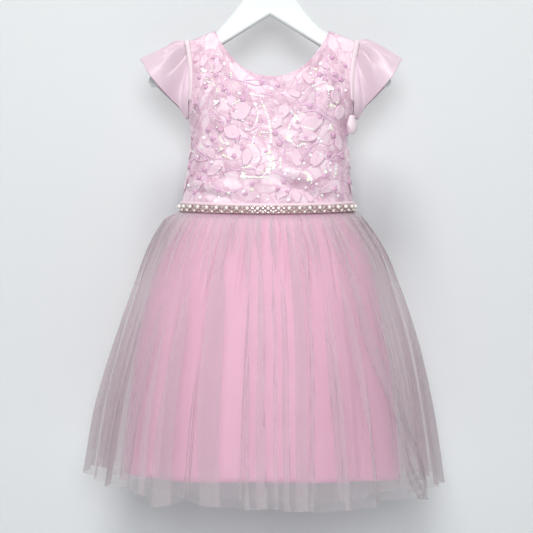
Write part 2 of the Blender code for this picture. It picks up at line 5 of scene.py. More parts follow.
import bmesh
import bpy
import numpy as np
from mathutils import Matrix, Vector


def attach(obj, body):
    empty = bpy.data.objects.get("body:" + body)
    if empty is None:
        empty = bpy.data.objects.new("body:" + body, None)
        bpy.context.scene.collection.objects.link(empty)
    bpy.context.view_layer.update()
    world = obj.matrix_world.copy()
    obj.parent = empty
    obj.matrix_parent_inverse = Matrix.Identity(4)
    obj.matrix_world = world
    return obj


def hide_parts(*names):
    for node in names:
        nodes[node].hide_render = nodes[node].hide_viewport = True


# A toddler's party dress on a child's coat hanger, in metres, +Z up.
# The dress faces -Y, +X is to the right of someone who looks at its front, and the origin is in the hook.
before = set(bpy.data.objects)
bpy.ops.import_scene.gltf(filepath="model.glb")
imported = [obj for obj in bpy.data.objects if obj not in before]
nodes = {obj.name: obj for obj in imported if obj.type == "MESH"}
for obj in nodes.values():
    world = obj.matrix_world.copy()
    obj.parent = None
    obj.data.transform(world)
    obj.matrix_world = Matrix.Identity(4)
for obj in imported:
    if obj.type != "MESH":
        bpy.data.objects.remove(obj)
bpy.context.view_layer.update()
bpy.ops.object.select_all(action="DESELECT")


# ---------------------------------------------------------------- hanger board
# A flat board of wood with rounded edges, sprayed with white satin paint, that carries the dress by its
# shoulder seams. Only the hub and the two ends show, so it keeps its own solid and is given its paint.

def new_finish(name, colour, roughness, metallic=0.0):
    """A material with a Principled shader, and the shader and the tree to work on."""
    material = bpy.data.materials.new(name)
    material.use_nodes = True
    tree = material.node_tree
    shader = tree.nodes["Principled BSDF"]
    shader.inputs["Base Color"].default_value = (*colour, 1.0)
    shader.inputs["Roughness"].default_value = roughness
    shader.inputs["Metallic"].default_value = metallic
    return material, tree, shader


def add_node(tree, kind, links=(), **values):
    """A node with its properties or inputs set by name, and with links of (input, output socket)."""
    node = tree.nodes.new(kind)
    for key, value in values.items():
        if hasattr(node, key):
            setattr(node, key, value)
        else:
            node.inputs[key.replace("_", " ")].default_value = value
    for key, socket in links:
        tree.links.new(socket, node.inputs[key])
    return node


def where(tree, kind):
    """The place on the surface, by its kind of coordinates: "Object", or "UV" in metres of flat cloth."""
    return tree.nodes.new("ShaderNodeTexCoord").outputs[kind]


def noise(tree, vector, scale, detail):
    """The value of a noise over a vector socket."""
    node = add_node(tree, "ShaderNodeTexNoise", [("Vector", vector)], Scale=scale, Detail=detail)
    return node.outputs["Fac"]


def tinted(tree, base, share, colour):
    """Mix a colour into a base, which is a colour or a colour's socket."""
    blend = tree.nodes.new("ShaderNodeMix")
    blend.data_type = "RGBA"
    tree.links.new(share, blend.inputs["Factor"])
    if isinstance(base, tuple):
        blend.inputs["A"].default_value = (*base, 1.0)
    else:
        tree.links.new(base, blend.inputs["A"])
    blend.inputs["B"].default_value = (*colour, 1.0)
    return blend.outputs["Result"]


def blend_colours(tree, share, low, high, shader):
    """Base Color that runs from low to high as the share socket goes from 0 to 1."""
    tree.links.new(tinted(tree, low, share, high), shader.inputs["Base Color"])


def dent(tree, height, strength, distance, shader):
    """Bump from a height socket into the shader's normal."""
    bump = tree.nodes.new("ShaderNodeBump")
    bump.inputs["Strength"].default_value = strength
    bump.inputs["Distance"].default_value = distance
    tree.links.new(height, bump.inputs["Height"])
    tree.links.new(bump.outputs["Normal"], shader.inputs["Normal"])


def repaint(node_name, material):
    """Put a finish on a solid that stays as it is."""
    for socket in nodes[node_name].material_slots:
        socket.material = material


paint, tree, shader = new_finish("white_hanger_paint", (0.71, 0.75, 0.74), 0.42)
shader.inputs["Coat Weight"].default_value = 0.15
place = where(tree, "Object")
blend_colours(tree, noise(tree, place, 14.0, 3.0), (0.67, 0.72, 0.71), (0.74, 0.78, 0.77), shader)
dent(tree, noise(tree, place, 650.0, 2.0), 0.25, 0.0002, shader)
repaint("hanger_body", paint)


# ---------------------------------------------------------------- hanger hook
# A bright steel wire that is screwed into the hub and bends over the rod. It keeps its own solid too,
# with the faint lines that drawing the wire leaves.

def spread(tree, value, low, high, to_low=0.0, to_high=1.0):
    """A value socket, stretched from the range low to high to another range."""
    node = add_node(tree, "ShaderNodeMapRange", [("Value", value)], From_Min=low, From_Max=high,
                    To_Min=to_low, To_Max=to_high)
    return node.outputs["Result"]


steel, tree, shader = new_finish("drawn_steel", (0.62, 0.62, 0.63), 0.27, 1.0)
lengthen = add_node(tree, "ShaderNodeMapping", [("Vector", where(tree, "Object"))], Scale=(1.0, 1.0, 0.08))
lines = noise(tree, lengthen.outputs["Vector"], 900.0, 2.0)
tree.links.new(spread(tree, lines, 0.0, 1.0, 0.2, 0.38), shader.inputs["Roughness"])
dent(tree, lines, 0.15, 0.0001, shader)
repaint("hanger_hook", steel)


# ---------------------------------------------------------------- bodice
# Pale pink duchess satin on an interlining: a front, and two backs that meet in a plain closed seam.
# It hangs folded over the hanger at the shoulders and filled out to the body's oval below.
# Each panel is a thin shell on the solid's own form, with the soft drag folds of a hanging bodice.

FRONT, BACK = "front", "back"
SIGN = {FRONT: -1, BACK: 1}
LEFT, RIGHT = -1, 1
GAP = 0.0003
BODICE_WALL = 0.0015
ROUNDNESS = 2.4
BODICE_COLUMNS = ("height", "middle", "half_width", FRONT, BACK)
BODICE_LEVELS = (
    (-0.151, 0.0024, 0.1200, 0.046, 0.042),
    (-0.200, 0.0018, 0.1130, 0.051, 0.046),
    (-0.246, 0.0010, 0.1055, 0.056, 0.050),
    (-0.276, -0.0011, 0.1005, 0.058, 0.052),
    (-0.308, -0.0011, 0.1035, 0.060, 0.053),
    (-0.330, -0.0024, 0.1060, 0.060, 0.053),
    (-0.348, -0.0030, 0.1080, 0.059, 0.052),
    (-0.3626, -0.0035, 0.1100, 0.058, 0.051),
)
SHOULDER_MIDDLE = 0.0027
NECK_HALF, NECK_POINT_Z = 0.0736, -0.135
SHOULDER_HALF, SHOULDER_TIP_Z = 0.1134, -0.151
UNDERARM_Z = -0.246
NECKLINE = {FRONT: (-0.200, 2.4), BACK: (-0.208, 2.9)}
WAIST_Z, WAIST_SAG = -0.3626, {FRONT: 0.005, BACK: 0.003}
UNDERARM_SHARE = 0.55
SHOULDER_SHARE = 4 / 26
SIDE_SHARE = 1 / 26
DRAPE_DROP, SHOULDER_BEND, SHOULDER_DEPTH = 0.095, 0.005, 0.007
FOLD_DEPTH = 1.35
# Soft folds: from x and z to x and z, half width and height, in millimetres. A height below 0 is a trough.
BODICE_FOLDS = {
    FRONT: (
        (-106, -254, -72, -206, 4.5, 3.6), (-102, -240, -82, -200, 3.5, -3.6),
        (-92, -262, -66, -232, 5.0, -1.6), (-92, -304, -40, -270, 9.0, 1.5), (76, -206, 70, -238, 6.0, 2.8),
        (60, -212, 56, -244, 5.0, -2.0), (98, -258, 70, -222, 5.0, 2.4), (103, -246, 82, -206, 3.5, -2.4),
        (88, -272, 60, -246, 5.0, -1.5), (-106, -330, -52, -346, 6.0, 2.4),
        (-98, -342, -40, -357, 4.5, -2.2), (-96, -316, -30, -336, 6.0, -1.5), (4, -312, 94, -346, 6.5, 3.0),
        (-8, -326, 80, -358, 6.0, -4.0), (98, -318, 40, -306, 6.0, 1.4), (20, -296, 84, -322, 7.0, -1.3),
        (-30, -232, 30, -226, 9.0, 1.0), (-36, -256, 10, -276, 8.0, 1.1), (-20, -346, 20, -352, 6.0, -1.2),
        (-74, -188, -58, -162, 5.0, -1.6), (74, -184, 60, -162, 5.0, -1.4),
        (-90, -176, -84, -200, 6.0, 1.5), (92, -176, 88, -200, 6.0, 1.5), (-50, -222, -36, -246, 6.0, -1.1),
    ),
    BACK: (
        (96, -262, 60, -212, 5.0, 2.8), (102, -248, 74, -206, 4.0, -2.8), (-97, -264, -62, -214, 5.0, 2.6),
        (-102, -248, -76, -208, 4.0, -2.6), (-100, -300, -44, -272, 8.0, 1.6), (96, -318, 40, -296, 7.0, 1.5),
        (40, -322, 98, -340, 6.0, 2.0), (30, -338, 90, -354, 5.0, -2.0), (-60, -342, -100, -324, 6.0, 1.9),
        (-44, -352, -90, -342, 5.0, -1.8), (14, -252, 44, -230, 7.0, 1.2), (-14, -282, -50, -260, 8.0, -1.1),
        (-84, -176, -78, -202, 6.0, 1.4), (86, -176, 80, -202, 6.0, 1.4), (10, -306, 52, -318, 7.0, -1.1),
    ),
}


def along(columns, rows, name, at):
    """The value in the column called name where the first column is at, on a smooth curve."""
    place = columns.index(name)
    spots = sorted((row[0], row[place]) for row in rows)
    if at <= spots[0][0]:
        return spots[0][1]
    if at >= spots[-1][0]:
        return spots[-1][1]
    last = len(spots) - 1
    step = next(i for i in range(last) if spots[i][0] <= at <= spots[i + 1][0])

    def slope(i):
        before, after = spots[max(i - 1, 0)], spots[min(i + 1, last)]
        return (after[1] - before[1]) / (after[0] - before[0])

    (start, low), (end, high) = spots[step], spots[step + 1]
    span = end - start
    t = (at - start) / span
    return (low * (1 + 2 * t) * (1 - t) ** 2 + high * t * t * (3 - 2 * t)
            + slope(step) * span * t * (1 - t) ** 2 + slope(step + 1) * span * t * t * (t - 1))


def ease(share):
    """From 0 to 1 with a soft start and end."""
    share = min(max(share, 0.0), 1.0)
    return share * share * (3 - 2 * share)


def mix(start, end, share):
    return start + (end - start) * share


@functools.lru_cache(maxsize=None)
def bodice_at(height, name):
    return along(BODICE_COLUMNS, BODICE_LEVELS, name, height)


def oval(turn, middle, half_width, depth, facing):
    """A point of half an oval, for turn from 0 at its first side seam to 1 at the other."""
    across, out = math.cos(math.pi * turn), math.sin(math.pi * turn)
    x = -math.copysign(abs(across) ** (2 / ROUNDNESS), across) * half_width
    return middle - SIGN[facing] * x, SIGN[facing] * (GAP / 2 + depth * out)


def waist_height(turn, facing):
    return WAIST_Z - WAIST_SAG[facing] * math.sin(math.pi * turn) ** 2


def shoulder_line(x):
    slope = (SHOULDER_TIP_Z - NECK_POINT_Z) / (SHOULDER_HALF - NECK_HALF)
    return NECK_POINT_Z + slope * (abs(x - SHOULDER_MIDDLE) - NECK_HALF)


def body_depth(x, z, facing):
    """Y of the bodice's inside at x and z: a fold over the hanger that fills out to the body's oval."""
    drop = max(shoulder_line(x) - z, 0.0)
    filled = ease(drop / DRAPE_DROP)
    short = 1 - min(drop / SHOULDER_BEND, 1.0)
    fold = SHOULDER_DEPTH * math.sqrt(1 - short * short) * (1 - filled)
    share = min(abs(x - bodice_at(z, "middle")) / bodice_at(z, "half_width"), 1.0)
    depth = bodice_at(z, facing) * filled * math.sqrt(1 - share ** ROUNDNESS)
    return SIGN[facing] * (GAP / 2 + fold + depth)


def side_edge(up, hand):
    """X and z of a side seam and, above the underarm, of an armhole's edge."""
    if up <= UNDERARM_SHARE:
        z = mix(WAIST_Z, UNDERARM_Z, up / UNDERARM_SHARE)
        return bodice_at(z, "middle") + hand * bodice_at(z, "half_width"), z
    rise = (up - UNDERARM_SHARE) / (1 - UNDERARM_SHARE)
    z = mix(UNDERARM_Z, SHOULDER_TIP_Z, rise)
    start = bodice_at(UNDERARM_Z, "half_width")
    out = mix(start, SHOULDER_HALF, rise * rise) - 0.002 * math.sin(math.pi * rise)
    return mix(bodice_at(UNDERARM_Z, "middle"), SHOULDER_MIDDLE, rise) + hand * out, z


def top_edge(across, facing):
    """X and z of the shoulder seams and the neckline, from the left shoulder tip to the right."""
    if across < SHOULDER_SHARE or across > 1 - SHOULDER_SHARE:
        hand = LEFT if across < SHOULDER_SHARE else RIGHT
        inward = min(across, 1 - across) / SHOULDER_SHARE
        out = mix(SHOULDER_HALF, NECK_HALF, inward)
        return SHOULDER_MIDDLE + hand * out, mix(SHOULDER_TIP_Z, NECK_POINT_Z, inward)
    place = math.sin(math.pi / 2 * ((across - SHOULDER_SHARE) / (1 - 2 * SHOULDER_SHARE) * 2 - 1))
    lowest, power = NECKLINE[facing]
    return SHOULDER_MIDDLE + place * NECK_HALF, lowest + (NECK_POINT_Z - lowest) * abs(place) ** power


def bottom_edge(across, facing):
    turn = across if facing == FRONT else 1 - across
    x, _ = oval(turn, bodice_at(WAIST_Z, "middle"), bodice_at(WAIST_Z, "half_width"), 0, facing)
    return x, waist_height(turn, facing)


@functools.lru_cache(maxsize=None)
def edge_spot(which, share, facing):
    if which == "bottom":
        return np.array(bottom_edge(share, facing))
    if which == "top":
        return np.array(top_edge(share, facing))
    return np.array(side_edge(share, LEFT if which == "left" else RIGHT))


def bodice_point(across, up, facing):
    """The bodice's inside: across from the left side to the right, up from waist to shoulder."""
    edges = (mix(edge_spot("bottom", across, facing), edge_spot("top", across, facing), up)
             + mix(edge_spot("left", up, facing), edge_spot("right", up, facing), across))
    low = mix(edge_spot("bottom", 0.0, facing), edge_spot("bottom", 1.0, facing), across)
    high = mix(edge_spot("top", 0.0, facing), edge_spot("top", 1.0, facing), across)
    x, z = edges - mix(low, high, up)
    return Vector((x, body_depth(x, z, facing), z))


def fold_height(x, z, folds):
    """How far the soft folds lift the cloth at x and z."""
    total = 0.0
    for x0, z0, x1, z1, half_width, height in folds:
        run_x, run_z = x1 - x0, z1 - z0
        long = math.hypot(run_x, run_z)
        off_x, off_z = x * 1000 - x0, z * 1000 - z0
        lengthways = (off_x * run_x + off_z * run_z) / long / long
        sideways = (off_x * run_z - off_z * run_x) / long
        if -0.1 < lengthways < 1.1:
            total += FOLD_DEPTH * height / 1000 * math.exp(-(sideways / half_width) ** 2) * math.sin(
                math.pi * (lengthways + 0.1) / 1.2) ** 1.3
    return total


def grid_faces(rows, columns, first=0):
    """The four-sided faces of a grid of points, row by row."""
    return [(first + r * columns + c, first + r * columns + c + 1,
             first + (r + 1) * columns + c + 1, first + (r + 1) * columns + c)
            for r in range(rows - 1) for c in range(columns - 1)]


def flat_places(heights, columns, size):
    """Places in metres on the flat cloth for a grid, with its rows at heights from 0 to 1."""
    return np.array([(c / (columns - 1) * size[0], height * size[1])
                     for height in heights for c in range(columns)], dtype=np.float32)


def add_to_dress(name, mesh, finish, smooth=True):
    """An object of a mesh in its finish, which moves with the dress."""
    mesh.materials.append(finish)
    if smooth:
        mesh.shade_smooth()
    piece = bpy.data.objects.new(name, mesh)
    bpy.context.scene.collection.objects.link(piece)
    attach(piece, "root")
    return piece


def cloth_shell(name, points, wall, finish, size, heights=None):
    """A thin shell of cloth outside points[row][column], with a UV map in metres of the flat cloth.

    Heights are the rows' places up the flat cloth from 0 to 1, where they aren't evenly spaced."""
    rows, columns = len(points), len(points[0])
    if heights is None:
        heights = [row / (rows - 1) for row in range(rows)]
    mesh = bpy.data.meshes.new(name)
    mesh.from_pydata([tuple(p) for row in points for p in row], [], grid_faces(rows, columns))
    order = np.empty(len(mesh.loops), dtype=np.int32)
    mesh.loops.foreach_get("vertex_index", order)
    places = flat_places(heights, columns, size)[order]
    mesh.uv_layers.new(name="cloth").data.foreach_set("uv", places.ravel())
    piece = add_to_dress(name, mesh, finish)
    shell = piece.modifiers.new("wall", "SOLIDIFY")
    shell.thickness = wall
    shell.offset = 1.0
    shell.use_quality_normals = True
    return piece


def new_group(name, inputs, outputs):
    """A node group with float or vector inputs and outputs, and its two end nodes."""
    group = bpy.data.node_groups.new(name, "ShaderNodeTree")
    for label, kind, value in inputs:
        socket = group.interface.new_socket(label, in_out="INPUT", socket_type="NodeSocket" + kind)
        if kind == "Float":
            socket.default_value = value
    for label, kind in outputs:
        group.interface.new_socket(label, in_out="OUTPUT", socket_type="NodeSocket" + kind)
    return group, group.nodes.new("NodeGroupInput"), group.nodes.new("NodeGroupOutput")


def arithmetic(tree, operation, first, second):
    """A Math node on two sockets or numbers."""
    node = tree.nodes.new("ShaderNodeMath")
    node.operation = operation
    for socket, value in zip(node.inputs, (first, second)):
        if isinstance(value, (int, float)):
            socket.default_value = value
        else:
            tree.links.new(value, socket)
    return node.outputs[0]


# The weave that all the satins and the lining share: floats of yarn with a little slub in them.
weave_group, start, end = new_group(
    "woven_yarns", [("Place", "Vector", None), ("Yarn", "Float", 0.0006)],
    [("Height", "Float"), ("Slub", "Float")])
parts = add_node(weave_group, "ShaderNodeSeparateXYZ", [("Vector", start.outputs["Place"])])
waves = []
for axis in (0, 1):
    yarns = arithmetic(weave_group, "DIVIDE", parts.outputs[axis], start.outputs["Yarn"])
    waves.append(arithmetic(weave_group, "SINE", arithmetic(weave_group, "MULTIPLY", yarns, math.tau), 0))
over = arithmetic(weave_group, "MULTIPLY", *waves)
weave_group.links.new(arithmetic(weave_group, "MULTIPLY_ADD", over, 0.5), end.inputs["Height"])
stretch = add_node(weave_group, "ShaderNodeMapping", [("Vector", start.outputs["Place"])],
                   Scale=(70.0, 900.0, 1.0))
weave_group.links.new(noise(weave_group, stretch.outputs["Vector"], 1.0, 2.0), end.inputs["Slub"])


def satin_finish(name, low, high, roughness, sheen=0.25, yarn=0.0006, patches=16.0, contrast=0.35):
    """Satin: two close shades that drift over the cloth, the weave in relief, and a soft sheen."""
    material, tree, shader = new_finish(name, high, roughness)
    shader.inputs["Sheen Weight"].default_value = sheen
    shader.inputs["Sheen Roughness"].default_value = 0.35
    shader.inputs["Sheen Tint"].default_value = (1.0, 0.90, 0.95, 1.0)
    place = where(tree, "UV")
    weave = add_node(tree, "ShaderNodeGroup", node_tree=weave_group)
    weave.inputs["Yarn"].default_value = yarn
    tree.links.new(place, weave.inputs["Place"])
    drift = spread(tree, noise(tree, place, patches, 3.0), 0.5 - contrast, 0.5 + contrast, -0.1, 0.9)
    both = arithmetic(tree, "ADD", drift, arithmetic(tree, "MULTIPLY", weave.outputs["Slub"], 0.2))
    blend_colours(tree, both, low, high, shader)
    dent(tree, weave.outputs["Height"], 0.12, 0.00015, shader)
    return material


def lay_net(satin):
    """The net over a satin, with its own woven shapes: pale leaves outlined in rose, and a fine grain."""
    tree = satin.node_tree
    shader = tree.nodes["Principled BSDF"]
    place = where(tree, "UV")
    bend = add_node(tree, "ShaderNodeTexNoise", [("Vector", place)], Scale=60.0, Detail=2.0)
    shift = add_node(tree, "ShaderNodeVectorMath", [(0, bend.outputs["Color"]), (2, place)],
                     operation="MULTIPLY_ADD")
    shift.inputs[1].default_value = (0.022, 0.022, 0.0)
    leaves = add_node(tree, "ShaderNodeTexVoronoi", [("Vector", shift.outputs["Vector"])], Scale=52.0)
    edges = add_node(tree, "ShaderNodeTexVoronoi", [("Vector", shift.outputs["Vector"])], Scale=52.0,
                     feature="DISTANCE_TO_EDGE")
    chance = add_node(tree, "ShaderNodeSeparateColor", [("Color", leaves.outputs["Color"])])
    ground = shader.inputs["Base Color"].links[0].from_socket
    for share, colour in (
            (spread(tree, chance.outputs["Red"], 0.45, 0.75, 0.0, 0.55), (0.92, 0.77, 0.84)),
            (spread(tree, edges.outputs["Distance"], 0.0, 0.11, 0.50, 0.0), (0.55, 0.27, 0.41)),
            (spread(tree, noise(tree, place, 420.0, 3.0), 0.52, 0.72, 0.0, 0.45), (0.92, 0.80, 0.86))):
        ground = tinted(tree, ground, share, colour)
    tree.links.new(ground, shader.inputs["Base Color"])


bodice_satin = satin_finish("bodice_satin", (0.56, 0.35, 0.45), (0.82, 0.63, 0.72), 0.52,
                            patches=60.0, contrast=0.16)
lay_net(bodice_satin)
BODICE_PANELS = (
    # name, facing, first and last place across the dress, columns, flat size and area
    ("bodice_front", FRONT, 0.0, 1.0, 144, (0.270, 0.225), 0.046),
    ("bodice_back_left", BACK, 0.0, 0.5, 72, (0.135, 0.222), 0.023),
    ("bodice_back_right", BACK, 0.5, 1.0, 72, (0.135, 0.222), 0.023),
)
BODICE_ROWS = 92


def bodice_sheet(facing, first, last, columns):
    points = []
    for row in range(BODICE_ROWS + 1):
        up = row / BODICE_ROWS
        line = []
        for column in range(columns + 1):
            share = column / columns
            across = mix(first, last, share) if facing == FRONT else mix(last, first, share)
            spot = bodice_point(across, up, facing)
            edge = min(across, 1 - across, up, 1 - up) / 0.05
            spot.y += SIGN[facing] * fold_height(spot.x, spot.z, BODICE_FOLDS[facing]) * ease(edge)
            if across == 0.5 and facing == BACK:
                spot.x += GAP / 2 * (1 if first > 0 else -1)
            line.append(spot)
        points.append(line)
    return points


bodice = {}
for name, facing, first, last, columns, flat, area in BODICE_PANELS:
    panel = cloth_shell(name + "_satin", bodice_sheet(facing, first, last, columns), BODICE_WALL,
                        bodice_satin, flat)
    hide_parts(name)
    bodice[name] = panel


# ---------------------------------------------------------------- vines
# The net over the satin is embroidered with winding twigs: a lilac cord, couched down along its length.
# The pattern is as wide as half the dress is round, so it comes again at the back.

VINES = (
    ((-104, -352), (-96, -338), (-84, -330), (-76, -316), (-82, -300), (-96, -292), (-106, -280)),
    ((-84, -330), (-70, -334), (-58, -344), (-44, -346), (-30, -340)),
    ((-128, -300), (-116, -306), (-104, -302), (-92, -306), (-80, -304), (-66, -296), (-54, -292)),
    ((-122, -262), (-110, -268), (-100, -262), (-90, -250), (-80, -246), (-70, -254), (-58, -258)),
    ((-90, -250), (-94, -236), (-88, -222), (-92, -208), (-84, -196), (-72, -190), (-60, -196)),
    ((-88, -222), (-76, -218), (-66, -208), (-58, -214), (-50, -226), (-52, -240)),
    ((-60, -196), (-46, -204), (-32, -208), (-18, -212), (-6, -210), (6, -216), (14, -226)),
    ((-32, -208), (-30, -222), (-36, -236), (-28, -248), (-14, -252), (-4, -262)),
    ((-52, -268), (-40, -278), (-26, -280), (-14, -290), (-10, -304), (-18, -316), (-30, -318)),
    ((6, -216), (20, -230), (28, -244), (24, -258), (34, -268), (48, -270), (58, -262)),
    ((28, -196), (32, -210), (30, -224), (38, -236), (50, -236), (62, -240), (74, -248), (84, -252)),
    ((50, -236), (56, -224), (52, -210), (60, -198), (72, -196), (84, -204), (94, -200)),
    ((84, -252), (92, -264), (88, -278), (78, -286), (64, -284), (52, -290), (44, -302)),
    ((126, -250), (114, -258), (104, -270), (108, -284), (98, -296), (84, -300), (72, -312)),
    ((10, -276), (20, -288), (18, -302), (28, -314), (42, -316), (54, -324), (58, -338)),
    ((-8, -330), (4, -322), (18, -326), (28, -336), (22, -348)),
    ((72, -312), (80, -324), (92, -328), (102, -338), (96, -350)),
    ((124, -322), (114, -332), (104, -330), (92, -328)),
    ((-126, -340), (-116, -330), (-108, -318), (-116, -306)),
    ((-70, -172), (-76, -182), (-72, -190)),
    ((66, -166), (74, -176), (72, -196)),
    ((-14, -222), (2, -226), (12, -234), (22, -240)), ((30, -203), (36, -216), (34, -222)),
    ((-34, -206), (-16, -205), (-2, -209)), ((40, -246), (54, -244), (68, -249), (80, -256)),
    ((-96, -316), (-82, -320), (-72, -306), (-58, -304)), ((-50, -316), (-42, -319), (-34, -318)),
    ((36, -236), (46, -235), (52, -238)), ((-66, -246), (-56, -252), (-52, -262)),
    ((60, -312), (72, -304), (90, -306)), ((-12, -262), (-24, -270), (-34, -268)),
    ((44, -290), (58, -300), (60, -312)), ((-92, -276), (-84, -286), (-70, -288)),
)
CORD_WIDTH, CORD_HEIGHT = 0.0018, 0.0004
HALF_GIRTH = 0.262
HALF_TURNS = (0.0, HALF_GIRTH)


@functools.lru_cache(maxsize=None)
def girth_table(level):
    """Distance round one side of the body from centre front, with x and depth, at a height in mm."""
    z = level / 1000
    middle, half_width = bodice_at(z, "middle"), bodice_at(z, "half_width")
    shares = np.sin(np.linspace(0, math.pi / 2, 60))
    front = [(share * half_width, body_depth(middle + share * half_width, z, FRONT)) for share in shares]
    back = [(share * half_width, body_depth(middle + share * half_width, z, BACK)) for share in shares[::-1]]
    spots = np.array(front + back)
    steps = np.hypot(*np.diff(spots, axis=0).T)
    return np.concatenate([[0.0], np.cumsum(steps)]), spots, len(front) - 1


def round_body(s, z):
    """Point of the bodice's outside at s round the body from centre front, to the right, and height z."""
    reach, spots, side = girth_table(round(z * 1000))
    distance = min(abs(s), reach[-1])
    x = float(np.interp(distance, reach, spots[:, 0]))
    facing = FRONT if distance <= reach[side] else BACK
    x = bodice_at(z, "middle") + math.copysign(x, s)
    y = body_depth(x, z, facing)
    return Vector((x, y, z)), facing, reach[-1] - distance


def on_bodice(s, z, lift=0.0):
    """A point over the bodice's face, the way out there, and the way round, or None past its edges."""
    here, facing, from_seam = round_body(s, z)
    aside, _, _ = round_body(s + 0.001, z)
    above, _, _ = round_body(s, z + 0.001)
    sideways, up = aside - here, above - here
    if sideways.length < 1e-7:
        return None
    out = sideways.cross(up).normalized()
    lowest, power = NECKLINE[facing]
    neck = abs(here.x - SHOULDER_MIDDLE) / NECK_HALF
    if neck < 1 and z > lowest + (NECK_POINT_Z - lowest) * neck ** power - 0.004:
        return None
    if z > shoulder_line(here.x) - 0.003 or z < WAIST_Z - 0.002 or from_seam < 0.0012:
        return None
    if z > UNDERARM_Z:
        rise = (z - UNDERARM_Z) / (SHOULDER_TIP_Z - UNDERARM_Z)
        edge, _ = side_edge(UNDERARM_SHARE + rise * (1 - UNDERARM_SHARE), math.copysign(1, s))
        if abs(here.x - SHOULDER_MIDDLE) > abs(edge - SHOULDER_MIDDLE) - 0.010:
            return None
    fold = fold_height(here.x, here.z, BODICE_FOLDS[facing])
    return here + out * (BODICE_WALL + fold + lift), out, sideways.normalized()


def smooth_route(corners, step):
    """Evenly spaced places on a smooth curve through the corners, in metres."""
    spots = np.array(corners, dtype=float) / 1000
    padded = np.vstack([2 * spots[0] - spots[1], spots, 2 * spots[-1] - spots[-2]])
    fine = []
    for i in range(1, len(padded) - 2):
        before, here, after, beyond = padded[i - 1:i + 3]
        for t in np.linspace(0, 1, 24, endpoint=False):
            fine.append(0.5 * (2 * here + (after - before) * t
                               + (2 * before - 5 * here + 4 * after - beyond) * t * t
                               + (3 * here - before - 3 * after + beyond) * t ** 3))
    fine = np.array(fine + [spots[-1]])
    reach = np.concatenate([[0], np.cumsum(np.hypot(*np.diff(fine, axis=0).T))])
    even = np.linspace(0, reach[-1], max(int(reach[-1] / step), 2) + 1)
    return np.column_stack([np.interp(even, reach, fine[:, 0]), np.interp(even, reach, fine[:, 1])])


def wrap(s):
    """A distance round the body, brought back to less than half the girth on either side."""
    return (s + HALF_GIRTH) % (2 * HALF_GIRTH) - HALF_GIRTH


def panel_of(point):
    if point.y < 0:
        return "bodice_front"
    return "bodice_back_left" if point.x < bodice_at(point.z, "middle") else "bodice_back_right"


def lay_cord(target, route, width, height, sides=6):
    """Sweep a flat oval along a route of (point, out) into a bmesh, closed and tapered at both ends."""
    rings = []
    last = len(route) - 1
    for i, (point, out) in enumerate(route):
        ahead = (route[min(i + 1, last)][0] - route[max(i - 1, 0)][0]).normalized()
        side = ahead.cross(out).normalized()
        thin = min(1.0, 0.35 + min(i, last - i) * 0.3)
        ring = []
        for k in range(sides):
            angle = math.tau * k / sides
            ring.append(target.verts.new(point + side * math.cos(angle) * width / 2 * thin
                                         + out * (math.sin(angle) * height / 2 * thin + height * 0.4)))
        rings.append(ring)
    for ring, following in zip(rings, rings[1:]):
        for k in range(sides):
            target.faces.new((ring[k], ring[(k + 1) % sides], following[(k + 1) % sides], following[k]))
    target.faces.new(rings[0][::-1])
    target.faces.new(rings[-1])


def cord_finish(name, low, high, roughness, tone_scale, stitch_scale, depth):
    """Embroidery cord: two shades that change along it, with its fine stitches in relief."""
    material, tree, shader = new_finish(name, high, roughness)
    place = where(tree, "Object")
    blend_colours(tree, noise(tree, place, tone_scale, 2.0), low, high, shader)
    dent(tree, noise(tree, place, stitch_scale, 1.0), *depth, shader)
    return material


vine_cord = cord_finish("lilac_cord", (0.82, 0.54, 0.69), (0.74, 0.50, 0.70), 0.55, 40.0, 1400.0,
                        (0.6, 0.0004))
builders = {name: bmesh.new() for name in bodice}
for corners in VINES:
    for half_turn in HALF_TURNS:
        runs = [[None]]
        for s, z in smooth_route(corners, 0.0016):
            spot = on_bodice(wrap(s + half_turn), z, 0.0002)
            name = panel_of(spot[0]) if spot else None
            if name != runs[-1][0]:
                runs.append([name])
            runs[-1].append(spot and spot[:2])
        for name, *run in runs:
            if name and len(run) > 4:
                lay_cord(builders[name], run, CORD_WIDTH, CORD_HEIGHT)
for name, builder in builders.items():
    mesh = bpy.data.meshes.new(name + "_vines")
    bmesh.ops.recalc_face_normals(builder, faces=builder.faces)
    builder.to_mesh(mesh)
    builder.free()
    add_to_dress(name + "_vines", mesh, vine_cord)


# ---------------------------------------------------------------- organza petals
# Petals cut from stiffened organza with a rose edge, sewn flat to the net. Each is caught down at one end and
# rises a little towards its tip. Large and small ones are mixed over the whole bodice.

